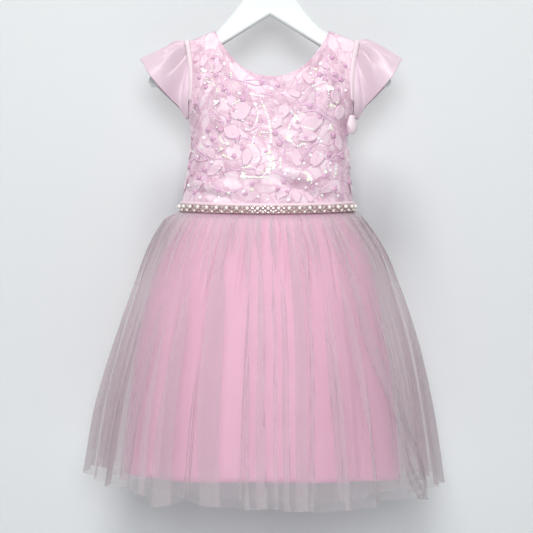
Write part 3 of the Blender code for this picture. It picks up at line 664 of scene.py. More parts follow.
# Each petal: distance round from centre front and height, length and width in millimetres, lean in degrees
PETALS = (
    (-37, -244, 30, 24, 70), (-28, -301, 25, 13, 10), (-70, -318, 24, 12, 70), (-93, -337, 24, 14, 75),
    (84, -220, 28, 20, 10), (54, -260, 33, 24, 60), (50, -277, 28, 14, 85), (34, -302, 25, 15, -15),
    (36, -350, 20, 12, -10), (52, -351, 17, 10, -35), (90, -243, 20, 18, 30), (16, -244, 21, 16, 20),
    (-100, -212, 21, 14, 30), (-48, -271, 25, 18, -60), (9, -257, 23, 15, 30),
    (20, -347, 22, 12, 60), (62, -303, 25, 18, 40), (45, -202, 19, 12, -40), (-16, -202, 21, 10, 85),
    (94, -281, 23, 14, -20), (78, -341, 25, 12, 70), (-51, -230, 19, 12, -30), (-90, -175, 19, 11, 20),
    (96, -176, 19, 12, -20), (-70, -188, 17, 10, 50), (70, -182, 17, 10, -50),
    (-120, -290, 21, 13, 20), (122, -302, 23, 14, -20), (-114, -252, 19, 12, -30),
    (116, -256, 20, 13, 40), (-76, -296, 18, 12, -40), (-10, -318, 17, 11, 30), (6, -300, 15, 10, -20),
    (-124, -334, 22, 13, 50), (126, -340, 20, 12, -60), (28, -222, 18, 11, -70), (-62, -346, 17, 11, -70),
)


def petal_grid(s, z, length, width, lean, rng):
    """Rows of points of one petal, which lies on the net and rises a little at its tip, or None."""
    steps, half_steps = 10, 3
    turn = math.radians(lean)
    lobe, start = rng.uniform(-0.12, 0.12), rng.random() * math.tau
    rows = []
    for i in range(steps + 1):
        t = i / steps
        half = width / 2 * math.sin(math.pi * min(t * 0.93 + 0.05, 1.0)) ** 0.85
        half *= 1 + 0.13 * math.sin(7.5 * t + start)
        row = []
        for j in range(-half_steps, half_steps + 1):
            side = j / half_steps
            a, b = (t - 0.5 - 0.06 * side * side) * length, (side + lobe * t) * half
            spot = on_bodice(wrap(s + a * math.sin(turn) + b * math.cos(turn)),
                             z + a * math.cos(turn) - b * math.sin(turn))
            if spot is None:
                return None
            ruffle = 0.00020 * math.sin(6 * t + 2.6 * side + start)
            lift = 0.0005 + 0.0006 * t ** 2 + 0.0002 * side * side + ruffle
            row.append(spot[0] + spot[1] * lift)
        rows.append(row)
    return rows


organza, tree, shader = new_finish("petal_organza", (0.90, 0.72, 0.81), 0.55)
shader.inputs["Sheen Weight"].default_value = 0.3
place = where(tree, "UV")
parts = add_node(tree, "ShaderNodeSeparateXYZ", [("Vector", place)])
rims = []
for axis in (0, 1):
    centred = arithmetic(tree, "ABSOLUTE", arithmetic(tree, "SUBTRACT", parts.outputs[axis], 0.5), 0)
    rims.append(arithmetic(tree, "POWER", arithmetic(tree, "MULTIPLY", centred, 2.0), 7.0))
fibres = noise(tree, place, 9.0, 3.0)
rim = arithmetic(tree, "MAXIMUM", rims[0], rims[1])
rose = arithmetic(tree, "MAXIMUM", rim, arithmetic(tree, "MULTIPLY", fibres, 0.40))
blend_colours(tree, rose, (0.81, 0.61, 0.71), (0.70, 0.46, 0.58), shader)
dent(tree, fibres, 0.3, 0.0005, shader)
rng = random.Random(11)
cut = {name: ([], [], []) for name in bodice}
for s, z, length, width, lean in PETALS:
    for half_turn in HALF_TURNS:
        middle = on_bodice(wrap(s / 1000 + half_turn), z / 1000)
        rows = middle and petal_grid(s / 1000 + half_turn, z / 1000, length / 1000, width / 1000, lean, rng)
        if rows is None:
            continue
        spots, faces, flat = cut[panel_of(middle[0])]
        first, wide = len(spots), len(rows[0])
        spots += [tuple(spot) for row in rows for spot in row]
        flat += [(c / (wide - 1), r / (len(rows) - 1)) for r in range(len(rows)) for c in range(wide)]
        faces += grid_faces(len(rows), wide, first)
petals = {}
for name, (spots, faces, flat) in cut.items():
    mesh = bpy.data.meshes.new(name + "_petals")
    mesh.from_pydata(spots, [], faces)
    layer = mesh.uv_layers.new(name="petal")
    for loop in mesh.loops:
        layer.data[loop.index].uv = flat[loop.vertex_index]
    petals[name] = add_to_dress(name + "_petals", mesh, organza)
    petals[name].modifiers.new("wall", "SOLIDIFY").thickness = 0.0002


# ---------------------------------------------------------------- rosettes
# Small flowers worked in loops of darker mauve cord round a bead, some in threes, along the twigs.

ROSETTE_SIZE = 0.00138
# Distance round from centre front and height in millimetres, and size
ROSETTES = (
    (-96, -198, 2.6), (-72, -197, 2.6), (-60, -216, 2.8), (-36, -229, 3.0), (-84, -213, 2.4),
    (-62, -268, 3.0), (-80, -266, 3.0), (-72, -278, 3.0), (-40, -280, 3.1), (-44, -301, 2.8),
    (-85, -317, 2.8), (-91, -327, 2.8), (-62, -344, 2.6), (-98, -345, 2.8), (-106, -322, 2.4),
    (-12, -209, 2.4), (8, -212, 2.4), (-46, -243, 2.4), (7, -272, 3.0), (13, -286, 3.0), (-24, -262, 2.4),
    (62, -197, 3.2), (70, -204, 2.8), (92, -201, 3.2), (84, -196, 2.8), (48, -238, 3.0), (88, -214, 2.4),
    (84, -273, 3.0), (77, -299, 2.8), (86, -342, 3.2), (20, -333, 3.0), (12, -342, 2.8), (62, -251, 2.6),
    (56, -340, 2.6), (40, -306, 2.4), (-20, -336, 2.6), (-54, -222, 2.4), (34, -258, 2.4), (100, -300, 2.6),
    (-112, -274, 2.6), (-118, -312, 2.6), (112, -268, 2.6), (116, -332, 2.6), (104, -238, 2.4),
    (-78, -172, 2.4), (80, -172, 2.4), (-98, -232, 2.4), (-4, -296, 2.4), (-28, -348, 2.4), (72, -326, 2.6),
    (98, -182, 2.4), (-102, -176, 2.2), (-52, -256, 2.3), (-34, -292, 2.3), (24, -346, 2.3),
    (46, -278, 2.3),
)


def choose(test):
    """In edit mode, select the vertices whose place passes the test."""
    shape = bmesh.from_edit_mesh(bpy.context.object.data)
    for vertex in shape.verts:
        vertex.select = test(vertex.co)
    shape.select_flush_mode()
    bmesh.update_edit_mesh(bpy.context.object.data)


def take_shape():
    """Leave edit mode and take the active object's points and faces, so that it can be copied."""
    bpy.ops.object.mode_set(mode="OBJECT")
    model = bpy.context.object
    mesh = model.data
    shape = (np.array([vertex.co[:] for vertex in mesh.vertices]),
             [tuple(face.vertices) for face in mesh.polygons])
    bpy.data.objects.remove(model)
    bpy.data.meshes.remove(mesh)
    return shape


def sew_on(name, shape, seats, material, smooth=True):
    """One piece made of copies of a small shape. A seat is its centre, its side, up and out, and its size."""
    spots, faces = shape
    placed, corners = [], []
    for k, (centre, side, up, out, size) in enumerate(seats):
        placed.append(np.array(centre) + (spots * size) @ np.array((side[:], up[:], out[:])))
        corners += [tuple(k * len(spots) + corner for corner in face) for face in faces]
    mesh = bpy.data.meshes.new(name)
    mesh.from_pydata(np.vstack(placed).tolist(), [], corners)
    return add_to_dress(name, mesh, material, smooth)


def turned(spot, angle):
    """The side, up and out of a spot on the bodice, turned round the way out."""
    centre, out, side = spot
    up = out.cross(side)
    return side * math.cos(angle) + up * math.sin(angle), up * math.cos(angle) - side * math.sin(angle), out


rosette_cord = cord_finish("mauve_cord", (0.82, 0.52, 0.70), (0.60, 0.34, 0.51), 0.50, 160.0, 900.0,
                           (0.7, 0.0005))
# One flower: ten-sided, with every second corner drawn in, stepped up to a bead in the middle.
bpy.ops.mesh.primitive_cylinder_add(vertices=10, radius=1.0, depth=0.30, location=(0, 0, 0.15))
bpy.ops.object.transform_apply(location=True)
bpy.ops.object.mode_set(mode="EDIT")
choose(lambda spot: round(math.degrees(math.atan2(spot.x, spot.y)) / 36) % 2 == 1)
bpy.ops.transform.resize(value=(0.58, 0.58, 1.0), center_override=(0, 0, 0))
choose(lambda spot: spot.z > 0.29)
bpy.ops.mesh.inset(thickness=0.20, depth=0.10)
bpy.ops.mesh.inset(thickness=0.14, depth=-0.08)
bpy.ops.mesh.inset(thickness=0.10, depth=0.22)
flower = take_shape()
rng = random.Random(5)
seats = {name: [] for name in bodice}
for s, z, size in ROSETTES:
    for half_turn in HALF_TURNS:
        spot = on_bodice(wrap(s / 1000 + half_turn), z / 1000, 0.0003)
        if spot is not None:
            frame_there = turned(spot, rng.random() * math.tau)
            seats[panel_of(spot[0])].append((spot[0], *frame_there, size * ROSETTE_SIZE))
rosettes = {name: sew_on(name + "_rosettes", flower, rows, rosette_cord) for name, rows in seats.items()}


# ---------------------------------------------------------------- sequins
# Flat clear sequins with a green and lemon gleam, which a faint painted glow in their tints adds to, sewn
# side by side in branching strings, in bright clusters and one by one, with a scatter of tiny ones. Each is a
# thin disc that tips a little its own way.

# Strings, clusters with their number, and single ones, by distance round from centre front and height, in mm
SEQUIN_STRINGS = (
    ((-88, -206), (-80, -192)), ((-86, -204), (-72, -212), (-68, -222)), ((-52, -196), (-51, -202)),
    ((-27, -223), (-10, -227)), ((-14, -230), (-6, -246), (0, -262), (2, -284)), ((-48, -235), (-40, -231)),
    ((-10, -272), (4, -272)), ((-62, -277), (-58, -285)), ((-18, -275), (-21, -287)),
    ((-20, -236), (-16, -248), (-18, -262)), ((-10, -298), (-16, -310)),
    ((-32, -316), (-22, -315), (-11, -320), (-2, -326)), ((-30, -327), (-12, -328), (-1, -328)),
    ((52, -213), (64, -208), (70, -206)), ((70, -208), (72, -232)), ((18, -236), (24, -244), (30, -250)),
    ((34, -246), (33, -254)), ((-8, -240), (-3, -256), (2, -270), (3, -284)), ((40, -264), (54, -267)),
    ((25, -262), (23, -274)), ((28, -284), (34, -289), (44, -286)), ((14, -304), (14, -316)),
    ((38, -321), (46, -323), (52, -330)), ((-4, -296), (0, -306), (-2, -318)), ((86, -310), (88, -322)),
    ((-104, -230), (-100, -246)), ((104, -214), (100, -228)), ((-116, -290), (-104, -294)),
    ((112, -300), (120, -312)), ((-58, -300), (-46, -306)), ((60, -296), (70, -302)),
)
SEQUIN_CLUSTERS = (
    (-2, -296, 4), (2, -304, 5), (4, -314, 5), (0, -320, 5), (60, -218, 5), (74, -216, 5), (32, -254, 5),
    (25, -279, 6), (-31, -326, 4), (51, -329, 4), (78, -263, 4), (-90, -191, 3), (-70, -233, 4), (0, -290, 3),
)
SEQUINS = (
    (-60, -292), (-66, -292), (-44, -245), (-29, -268), (-21, -272), (57, -190), (99, -215), (80, -237),
    (84, -232), (75, -236), (41, -286), (62, -278), (66, -282), (23, -320), (21, -324), (60, -336),
    (48, -340), (71, -301), (78, -309), (79, -318), (73, -320), (86, -326), (-58, -331), (-49, -347),
    (-30, -346), (-20, -343), (-66, -357), (-62, -352), (-56, -285), (-52, -286), (44, -310), (52, -300),
    (-40, -222), (24, -200), (16, -222), (-20, -236), (94, -240), (-76, -250), (-96, -300), (96, -286),
    (-110, -336), (108, -318), (-122, -282), (122, -290), (-86, -276), (50, -196), (-62, -182), (64, -182),
    (-96, -218), (26, -356), (-12, -352), (92, -350), (-88, -352), (38, -330), (-74, -308), (6, -256),
    (-56, -232), (0, -216), (40, -222), (64, -260), (-34, -256), (-90, -288), (70, -350),
)
STRING_PITCH, CLUSTER_REACH = 0.0029, 0.0027
TINY_SEQUINS = 260
SEQUIN_TINTS = (
    (0.98, 1.0, 0.97), (0.80, 0.95, 0.79), (0.88, 0.98, 0.72), (0.95, 0.88, 0.92), (0.90, 1.0, 0.93),
    (0.88, 0.72, 0.82),
)

glowing_sequin_film, tree, shader = new_finish("glowing_sequin_film", (0.95, 1.0, 0.95), 0.16)
shader.inputs["Coat Weight"].default_value = 0.3
shader.inputs["Coat Roughness"].default_value = 0.10
shader.inputs["Specular IOR Level"].default_value = 0.6
# The tints also feed a faint emission: a painted glow, as if every sequin always caught the light.
shader.inputs["Emission Strength"].default_value = 0.05
tint = add_node(tree, "ShaderNodeAttribute", attribute_name="tint")
tree.links.new(tint.outputs["Color"], shader.inputs["Base Color"])
tree.links.new(tint.outputs["Color"], shader.inputs["Emission Color"])
# One sequin: a thin disc with its middle pressed in.
bpy.ops.mesh.primitive_cylinder_add(vertices=8, radius=1.0, depth=0.12, end_fill_type="TRIFAN")
bpy.ops.object.mode_set(mode="EDIT")
choose(lambda spot: spot.xy.length < 0.1)
bpy.ops.transform.translate(value=(0, 0, -0.16))
disc = take_shape()
rng = random.Random(23)
seats = {name: [] for name in bodice}
tints = {name: [] for name in bodice}


def sew_sequin(s, z, radius, tilt):
    """Note the seat of one sequin that tips a little its own way."""
    spot = on_bodice(wrap(s), z, 0.0009)
    if spot is None:
        return
    centre, out, side = spot
    out = (out + side * rng.uniform(-tilt, tilt) + Vector((0, 0, rng.uniform(-tilt, tilt)))).normalized()
    side = (side - out * side.dot(out)).normalized()
    seats[panel_of(centre)].append((centre, side, out.cross(side), out, radius))
    tints[panel_of(centre)] += [(*rng.choice(SEQUIN_TINTS), 1.0)] * len(disc[1])


for half_turn in HALF_TURNS:
    for corners in SEQUIN_STRINGS:
        for s, z in smooth_route(corners, STRING_PITCH):
            sew_sequin(s + half_turn, z, rng.uniform(0.0010, 0.0015), 0.35)
    for s, z, count in SEQUIN_CLUSTERS:
        for k in range(count):
            angle = math.tau * k / count + s
            reach = 0.0 if k == 0 else CLUSTER_REACH
            sew_sequin(s / 1000 + half_turn + reach * math.cos(angle), z / 1000 + reach * math.sin(angle),
                       rng.uniform(0.0018, 0.0023), 0.35)
    for s, z in SEQUINS:
        sew_sequin(s / 1000 + half_turn, z / 1000, rng.uniform(0.0016, 0.0022), 0.35)
    for _ in range(TINY_SEQUINS):
        sew_sequin(rng.uniform(-HALF_GIRTH / 2, HALF_GIRTH / 2) + half_turn, rng.uniform(-0.356, -0.168),
                   rng.uniform(0.0006, 0.0010), 0.5)
for name, rows in seats.items():
    piece = sew_on(name + "_sequins", disc, rows, glowing_sequin_film, smooth=False)
    colours = piece.data.attributes.new("tint", "FLOAT_COLOR", "FACE")
    colours.data.foreach_set("color", np.array(tints[name], dtype=np.float32).ravel())


# ---------------------------------------------------------------- cap sleeves
# Plain satin caps, cut on the straight, gathered into the top of the armhole and hemmed narrowly.
# The gathers fan out from the top of the seam and die away, and the front drops in one face to the underarm.

SLEEVE_HEM_COLUMNS = ("turn", "out", "depth", "height")
SLEEVE_HEM = (
    (0.00, 0.1120, -0.0040, -0.2480),
    (0.16, 0.1205, -0.0110, -0.2342),
    (0.34, 0.1320, -0.0230, -0.2222),
    (0.52, 0.1446, -0.0340, -0.2096),
    (0.70, 0.1570, -0.0350, -0.1952),
    (0.86, 0.1658, -0.0170, -0.1796),
    (1.00, 0.1715, -0.0010, -0.1710),
)
SLEEVE_REACH = {LEFT: 1.0, RIGHT: 0.965}
SLEEVE_COLUMNS, SLEEVE_ROWS = 220, 44
SATIN_WALL, SLEEVE_FLAT = 0.0010, (0.250, 0.062)
# Gathers of each sleeve: place at the hem, half width there, height, and how far down they reach.
# All of them draw in towards one point of the seam.
GATHER_POINT = {LEFT: 0.34, RIGHT: 0.37}
SLEEVE_GATHERS = {
    LEFT: (
        (0.140, 0.110, -0.0080, 1.6), (0.285, 0.034, -0.0080, 0.8), (0.345, 0.042, 0.0080, 0.75),
        (0.402, 0.026, -0.0060, 0.6), (0.430, 0.018, 0.0046, 0.45), (0.460, 0.024, -0.0072, 0.5),
        (0.505, 0.032, 0.0034, 0.9), (0.560, 0.030, -0.0046, 0.8), (0.620, 0.040, 0.0054, 1.0),
        (0.690, 0.040, -0.0050, 1.2),
    ),
    RIGHT: (
        (0.120, 0.100, -0.0070, 1.6), (0.190, 0.045, -0.0050, 0.9), (0.246, 0.034, 0.0070, 0.65),
        (0.318, 0.034, -0.0110, 0.55), (0.380, 0.030, 0.0062, 0.9), (0.440, 0.030, -0.0066, 0.8),
        (0.505, 0.040, 0.0036, 0.9), (0.560, 0.030, -0.0044, 0.8), (0.620, 0.040, 0.0052, 1.0),
        (0.690, 0.040, -0.0050, 1.2),
    ),
}
SLEEVE_CROWN = {LEFT: 0.0012, RIGHT: 0.0040}


def panel_spot(across, up, facing):
    """A point of the bodice's outer face, and the way out."""
    here = bodice_point(across, up, facing)
    step = 0.004
    left, right = (bodice_point(max(across - step, 0.0), up, facing),
                   bodice_point(min(across + step, 1.0), up, facing))
    below, above = (bodice_point(across, max(up - step, 0.0), facing),
                    bodice_point(across, min(up + step, 1.0), facing))
    out = (right - left).cross(above - below).normalized() * -SIGN[facing]
    if out.y * SIGN[facing] < 0:
        out = -out
    return here + out * BODICE_WALL, out


def armhole_point(turn, hand, inset, lift):
    """A point beside the armhole, from the front underarm (0) over the shoulder to the back one (1)."""
    facing = FRONT if turn < 0.5 else BACK
    step = 1 - abs(2 * turn - 1)
    up = mix(UNDERARM_SHARE, 1, 1 - (1 - step) ** 2)
    if turn == 0.5:
        front, front_out = panel_spot(0.0 if hand == LEFT else 1.0, 1.0, FRONT)
        back, back_out = panel_spot(0.0 if hand == LEFT else 1.0, 1.0, BACK)
        return (front + back) / 2 + (front_out + back_out).normalized() * lift
    edge, out = panel_spot(0.0 if hand == LEFT else 1.0, up, facing)
    inner, inner_out = panel_spot(SIDE_SHARE if hand == LEFT else 1 - SIDE_SHARE, up, facing)
    share = min(inset / (inner - edge).length, 0.95)
    return edge.lerp(inner, share) + out.lerp(inner_out, share).normalized() * lift


def sleeve_hem(turn, hand):
    share = 1 - abs(2 * turn - 1)
    facing = 1 if turn <= 0.5 else -1
    out, depth, z = (along(SLEEVE_HEM_COLUMNS, SLEEVE_HEM, name, share) for name in SLEEVE_HEM_COLUMNS[1:])
    root = bodice_at(UNDERARM_Z, "half_width")
    return Vector((SHOULDER_MIDDLE + hand * (root + (out - root) * SLEEVE_REACH[hand]), facing * depth, z))


def sleeve_point(turn, down, hand):
    """The sleeve's inside: turn round the armhole, down from the seam to the hem."""
    seam = armhole_point(turn, hand, 0, 0.0005)
    crown = math.sin(math.pi * turn)
    outward = Vector((0.35 * hand, -math.cos(math.pi * turn), crown)).normalized()
    puff = mix(0.0020, SLEEVE_CROWN[hand], crown ** 3) * crown
    swell = puff * math.sin(math.pi * down ** 0.7)
    gather = 0.0
    for at, half_width, height, reach in SLEEVE_GATHERS[hand]:
        spread = 0.4 + 0.6 * down ** 0.7
        centre = GATHER_POINT[hand] + (at - GATHER_POINT[hand]) * spread
        off = (turn - centre) / (half_width * spread)
        fade = math.sin(math.pi * min(down / reach, 1.0) ** 0.55)
        gather += height * math.exp(-off * off * 1.6) * fade
    return seam.lerp(sleeve_hem(turn, hand), down) + outward * (swell + gather)


sleeve_satin = satin_finish("sleeve_satin", (0.62, 0.47, 0.55), (0.75, 0.59, 0.67), 0.42, 0.3)
for name, hand in (("sleeve_left", LEFT), ("sleeve_right", RIGHT)):
    points = []
    for row in range(SLEEVE_ROWS + 1):
        down = 1 - row / SLEEVE_ROWS
        turns = np.linspace(0, 1, SLEEVE_COLUMNS + 1)
        if hand == LEFT:
            turns = turns[::-1]
        points.append([sleeve_point(float(turn), down, hand) for turn in turns])
    piece = cloth_shell(name + "_satin", points, SATIN_WALL, sleeve_satin, SLEEVE_FLAT)
    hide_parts(name)


# ---------------------------------------------------------------- armhole bindings
# A narrow folded strip of the sleeve's satin that is sewn flat to the bodice inside each armhole seam.

binding_satin = satin_finish("binding_satin", (0.70, 0.57, 0.62), (0.79, 0.68, 0.72), 0.45, 0.2)
BINDING_COLUMNS, BINDING_FLAT = 120, (0.200, 0.010)
# The strip's section: distance in from the seam, and height over the bodice. Both edges are turned under.
BINDING_ACROSS = ((0.0030, 0.0007), (0.0012, 0.0006), (0.0006, 0.0009), (0.0011, 0.0014), (0.0024, 0.0018),
                  (0.0040, 0.0019), (0.0054, 0.0017), (0.0061, 0.0013), (0.0065, 0.0009), (0.0060, 0.0006),
                  (0.0046, 0.0007))
for name, hand in (("armhole_binding_left", LEFT), ("armhole_binding_right", RIGHT)):
    turns = np.linspace(0.05, 0.95, BINDING_COLUMNS + 1)
    if hand == RIGHT:
        turns = turns[::-1]
    points = [[armhole_point(float(turn), hand, inset, lift) for turn in turns]
              for inset, lift in reversed(BINDING_ACROSS)]
    piece = cloth_shell(name + "_strip", points, 0.0005, binding_satin, BINDING_FLAT)
    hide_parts(name)


# ---------------------------------------------------------------- underarm facing
# The facing of the right armhole, in the sleeve's satin, has worked out below the sleeve and stands in a soft
# bulge at the underarm. It is one small folded piece, sewn in with the armhole seam.

FACING_STEPS, FACING_FLAT = 12, (0.020, 0.028)
FACING_HALF, FACING_SWELL = 0.0074, 0.0065
FACING_X, FACING_Y, FACING_FOOT, FACING_TOP = 0.1040, -0.0165, -0.2690, -0.2455
points = []
for row in range(FACING_STEPS + 1):
    up = row / FACING_STEPS
    half = FACING_HALF * math.sin(math.pi * (0.13 + 0.74 * up)) ** 0.7
    line = []
    for column in range(FACING_STEPS + 1):
        side = 2 * column / FACING_STEPS - 1
        swell = math.sqrt(max(1 - side * side, 0.0)) * math.sin(math.pi * (0.06 + 0.88 * up)) ** 0.6
        ripple = 0.0008 * math.sin(8 * up + 3 * side) * swell
        line.append(Vector((FACING_X + side * half + 0.0010 * math.sin(7 * up),
                            FACING_Y - FACING_SWELL * swell - ripple, mix(FACING_FOOT, FACING_TOP, up))))
    points.append(line)
piece = cloth_shell("underarm_facing", points, 0.0006, binding_satin, FACING_FLAT)


# ---------------------------------------------------------------- lining
# An opaque pink skirt of satin-backed lining under the tulle, sewn into the waist seam and machine hemmed.
# It hangs nearly plain, with a few broad soft folds.

SKIRT_COLUMNS = ("drop", "middle", "half_width", FRONT, BACK)
LINING_LEVELS = (
    (0.0000, -0.0035, 0.1080, 0.0560, 0.0490),
    (0.0078, -0.0036, 0.1080, 0.0560, 0.0490),
    (0.0200, -0.0040, 0.1140, 0.0585, 0.0510),
    (0.0570, -0.0055, 0.1310, 0.0660, 0.0570),
    (0.1000, -0.0080, 0.1440, 0.0740, 0.0640),
    (0.1600, -0.0095, 0.1565, 0.0860, 0.0730),
    (0.2300, -0.0100, 0.1680, 0.0990, 0.0830),
    (0.3450, -0.0100, 0.1785, 0.1130, 0.0940),
)
LINING_LENGTH, LINING_WALL = 0.345, 0.0012
LINING_FLAT = (0.46, LINING_LENGTH)
# The skirts' hems: heights at the middles of the panels, and at the side seams
LINING_HEM = ({FRONT: -0.7020, BACK: -0.7030}, {LEFT: -0.6980, RIGHT: -0.7130})
# Broad folds: place, half width and height
LINING_FOLDS = {
    FRONT: ((0.16, 0.10, 0.007), (0.36, 0.10, 0.006), (0.60, 0.12, 0.007), (0.84, 0.10, 0.006),
            (0.26, 0.03, -0.004), (0.47, 0.04, -0.003), (0.73, 0.035, -0.004), (0.92, 0.03, -0.003)),
    BACK: ((0.20, 0.12, 0.006), (0.50, 0.14, 0.007), (0.80, 0.12, 0.006), (0.35, 0.04, -0.004),
           (0.66, 0.04, -0.003), (0.10, 0.03, -0.003)),
}


def hem_height(turn, facing, hem):
    middles, seams = hem
    first, last = (LEFT, RIGHT) if facing == FRONT else (RIGHT, LEFT)
    return mix(mix(seams[first], seams[last], turn), middles[facing], np.sin(math.pi * turn) ** 2)


def soft_step(share):
    share = np.clip(share, 0.0, 1.0)
    return share * share * (3 - 2 * share)


def hump(off):
    """A smooth fold between -1 and 1."""
    return np.cos(math.pi / 2 * np.clip(off, -1, 1)) ** 2


def off_seams(left):
    """From 0 at the side seams, where nothing may move, to 1 a little way in."""
    return soft_step(np.minimum(left, 1 - left) / 0.03)


def grown_flutes(drop):
    """From 0 at the waist, where broad folds begin, to 1 well down the skirt."""
    return soft_step((drop - 0.010) / 0.300)


def skirt_points(facing, levels, hem, left, drops):
    """Points of a skirt panel and the way out there, for places from its left (0) to its right (1)."""
    turn = left if facing == FRONT else 1 - left
    across, out = np.cos(math.pi * turn), np.sin(math.pi * turn)
    rounded = -np.copysign(np.abs(across) ** (2 / ROUNDNESS), across)
    middle, half_width, depth = (
        np.array([along(SKIRT_COLUMNS, levels, name, drop) for drop in drops])[:, None]
        for name in ("middle", "half_width", facing))
    x = middle - SIGN[facing] * rounded * half_width
    y = SIGN[facing] * (GAP / 2 + depth * out)
    seam = WAIST_Z - WAIST_SAG[facing] * out ** 2 - GAP
    z = mix(seam, hem_height(turn, facing, hem), np.array(drops)[:, None] / drops[-1])
    away = np.stack([x - middle, y, np.zeros_like(x)], axis=-1)
    return np.stack([x, y, z], axis=-1), away / np.linalg.norm(away, axis=-1, keepdims=True)


def panel_places(facing, columns, drops):
    """For each point of a panel's grid, its place from the left and its drop from the waist."""
    left = np.linspace(0, 1, columns + 1)
    return np.meshgrid(left if facing == FRONT else left[::-1], np.array(drops))


# Gathers that fade below the waist: place, half width and depth, and the drops where each is deepest and ends
LINING_GATHERS = {
    FRONT: (
        (0.110, 0.012, -0.0025, 0.020, 0.070), (0.152, 0.010, -0.0020, 0.012, 0.050),
        (0.205, 0.010, -0.0035, 0.036, 0.080), (0.262, 0.012, -0.0020, 0.015, 0.060),
        (0.312, 0.010, -0.0020, 0.030, 0.080), (0.357, 0.011, -0.0040, 0.070, 0.130),
        (0.402, 0.010, -0.0025, 0.020, 0.060), (0.447, 0.010, -0.0045, 0.045, 0.150),
        (0.490, 0.008, -0.0030, 0.030, 0.090), (0.535, 0.009, -0.0040, 0.034, 0.080),
        (0.547, 0.006, -0.0040, 0.072, 0.110), (0.606, 0.009, -0.0035, 0.018, 0.050),
        (0.615, 0.010, -0.0040, 0.062, 0.120), (0.655, 0.010, -0.0020, 0.020, 0.070),
        (0.696, 0.012, -0.0045, 0.066, 0.150), (0.752, 0.010, -0.0020, 0.020, 0.070),
        (0.805, 0.011, -0.0025, 0.025, 0.090), (0.880, 0.012, -0.0020, 0.020, 0.080),
    ),
    BACK: (
        (0.100, 0.012, -0.0025, 0.020, 0.080), (0.170, 0.010, -0.0035, 0.040, 0.110),
        (0.245, 0.011, -0.0025, 0.015, 0.060), (0.300, 0.009, -0.0030, 0.030, 0.090),
        (0.370, 0.012, -0.0040, 0.050, 0.130), (0.430, 0.009, -0.0020, 0.015, 0.060),
        (0.500, 0.012, -0.0030, 0.030, 0.100), (0.560, 0.009, -0.0025, 0.020, 0.070),
        (0.625, 0.011, -0.0040, 0.060, 0.140), (0.700, 0.010, -0.0025, 0.020, 0.080),
        (0.770, 0.011, -0.0030, 0.040, 0.100), (0.850, 0.010, -0.0020, 0.015, 0.060),
        (0.910, 0.010, -0.0025, 0.030, 0.080),
    ),
}
lining_satin = satin_finish("lining_satin", (0.78, 0.39, 0.56), (0.86, 0.45, 0.63), 0.48, 0.15, 0.0009)
LINING_ROWS, LINING_STEPS = 56, 220
for facing in (FRONT, BACK):
    drops = [LINING_LENGTH * (row / LINING_ROWS) ** 1.4 for row in range(LINING_ROWS + 1)]
    left, drop = panel_places(facing, LINING_STEPS, drops)
    points, ways = skirt_points(facing, LINING_LEVELS, LINING_HEM, left, drops)
    total = sum(height * hump((left - at) / half_width) for at, half_width, height in LINING_FOLDS[facing])
    out = total * grown_flutes(drop)
    for at, half_width, depth, deepest, end in LINING_GATHERS[facing]:
        fade = soft_step(drop / deepest) * (1 - soft_step((drop - deepest) / (end - deepest)))
        out = out + depth * hump((left - at) / half_width) * fade
    points = points + ways * (out * off_seams(left))[..., None]
    piece = cloth_shell("lining_" + facing + "_skirt", points[::-1], LINING_WALL, lining_satin, LINING_FLAT,
                        [1 - fall / LINING_LENGTH for fall in drops[::-1]])
    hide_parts("lining_" + facing)


# ---------------------------------------------------------------- tulle skirts
# Two full layers of soft tulle over the lining, gathered tightly into the waist seam, with a raw cut hem.
# Fine gathers fan out from the belt, and lower down the net falls in flutes and doubles over in creases.

TULLE_LEVELS = (
    (0.0000, -0.0035, 0.1100, 0.058, 0.051),
    (0.0078, -0.0037, 0.1102, 0.058, 0.051),
    (0.0110, -0.0060, 0.1225, 0.066, 0.058),
    (0.0220, -0.0070, 0.1325, 0.074, 0.064),
    (0.0570, -0.0052, 0.1530, 0.088, 0.076),
    (0.0930, -0.0040, 0.1670, 0.098, 0.085),
    (0.1270, -0.0035, 0.1780, 0.107, 0.093),
    (0.1860, -0.0040, 0.1935, 0.120, 0.104),
    (0.2720, -0.0065, 0.2110, 0.136, 0.116),
    (0.3650, -0.0075, 0.2250, 0.148, 0.126),
)
TULLE_LENGTH, TULLE_CUT, NET_WALL = 0.365, 0.37, 0.0003
TULLE_HEM = ({FRONT: -0.7255, BACK: -0.7160}, {LEFT: -0.6980, RIGHT: -0.7160})
# Large flutes: place, half width and height
TULLE_FLUTES = {
    FRONT: (
        (0.090, 0.040, 0.012), (0.160, 0.034, 0.010), (0.222, 0.030, 0.013), (0.284, 0.032, 0.010),
        (0.334, 0.024, 0.014), (0.368, 0.016, -0.014), (0.402, 0.026, 0.012), (0.446, 0.022, 0.009),
        (0.486, 0.022, 0.012), (0.530, 0.024, 0.010), (0.576, 0.024, 0.013), (0.620, 0.022, 0.009),
        (0.662, 0.024, 0.012), (0.706, 0.024, -0.012), (0.748, 0.030, 0.008), (0.800, 0.030, 0.012),
        (0.862, 0.032, 0.011), (0.925, 0.030, 0.010),
    ),
    BACK: (
        (0.080, 0.036, 0.011), (0.150, 0.036, 0.013), (0.225, 0.034, 0.009), (0.290, 0.032, 0.012),
        (0.355, 0.034, 0.010), (0.425, 0.034, 0.013), (0.490, 0.030, 0.009), (0.555, 0.034, 0.012),
        (0.625, 0.034, 0.010), (0.695, 0.036, 0.013), (0.770, 0.036, 0.010), (0.845, 0.038, 0.012),
        (0.920, 0.034, 0.010),
    ),
}
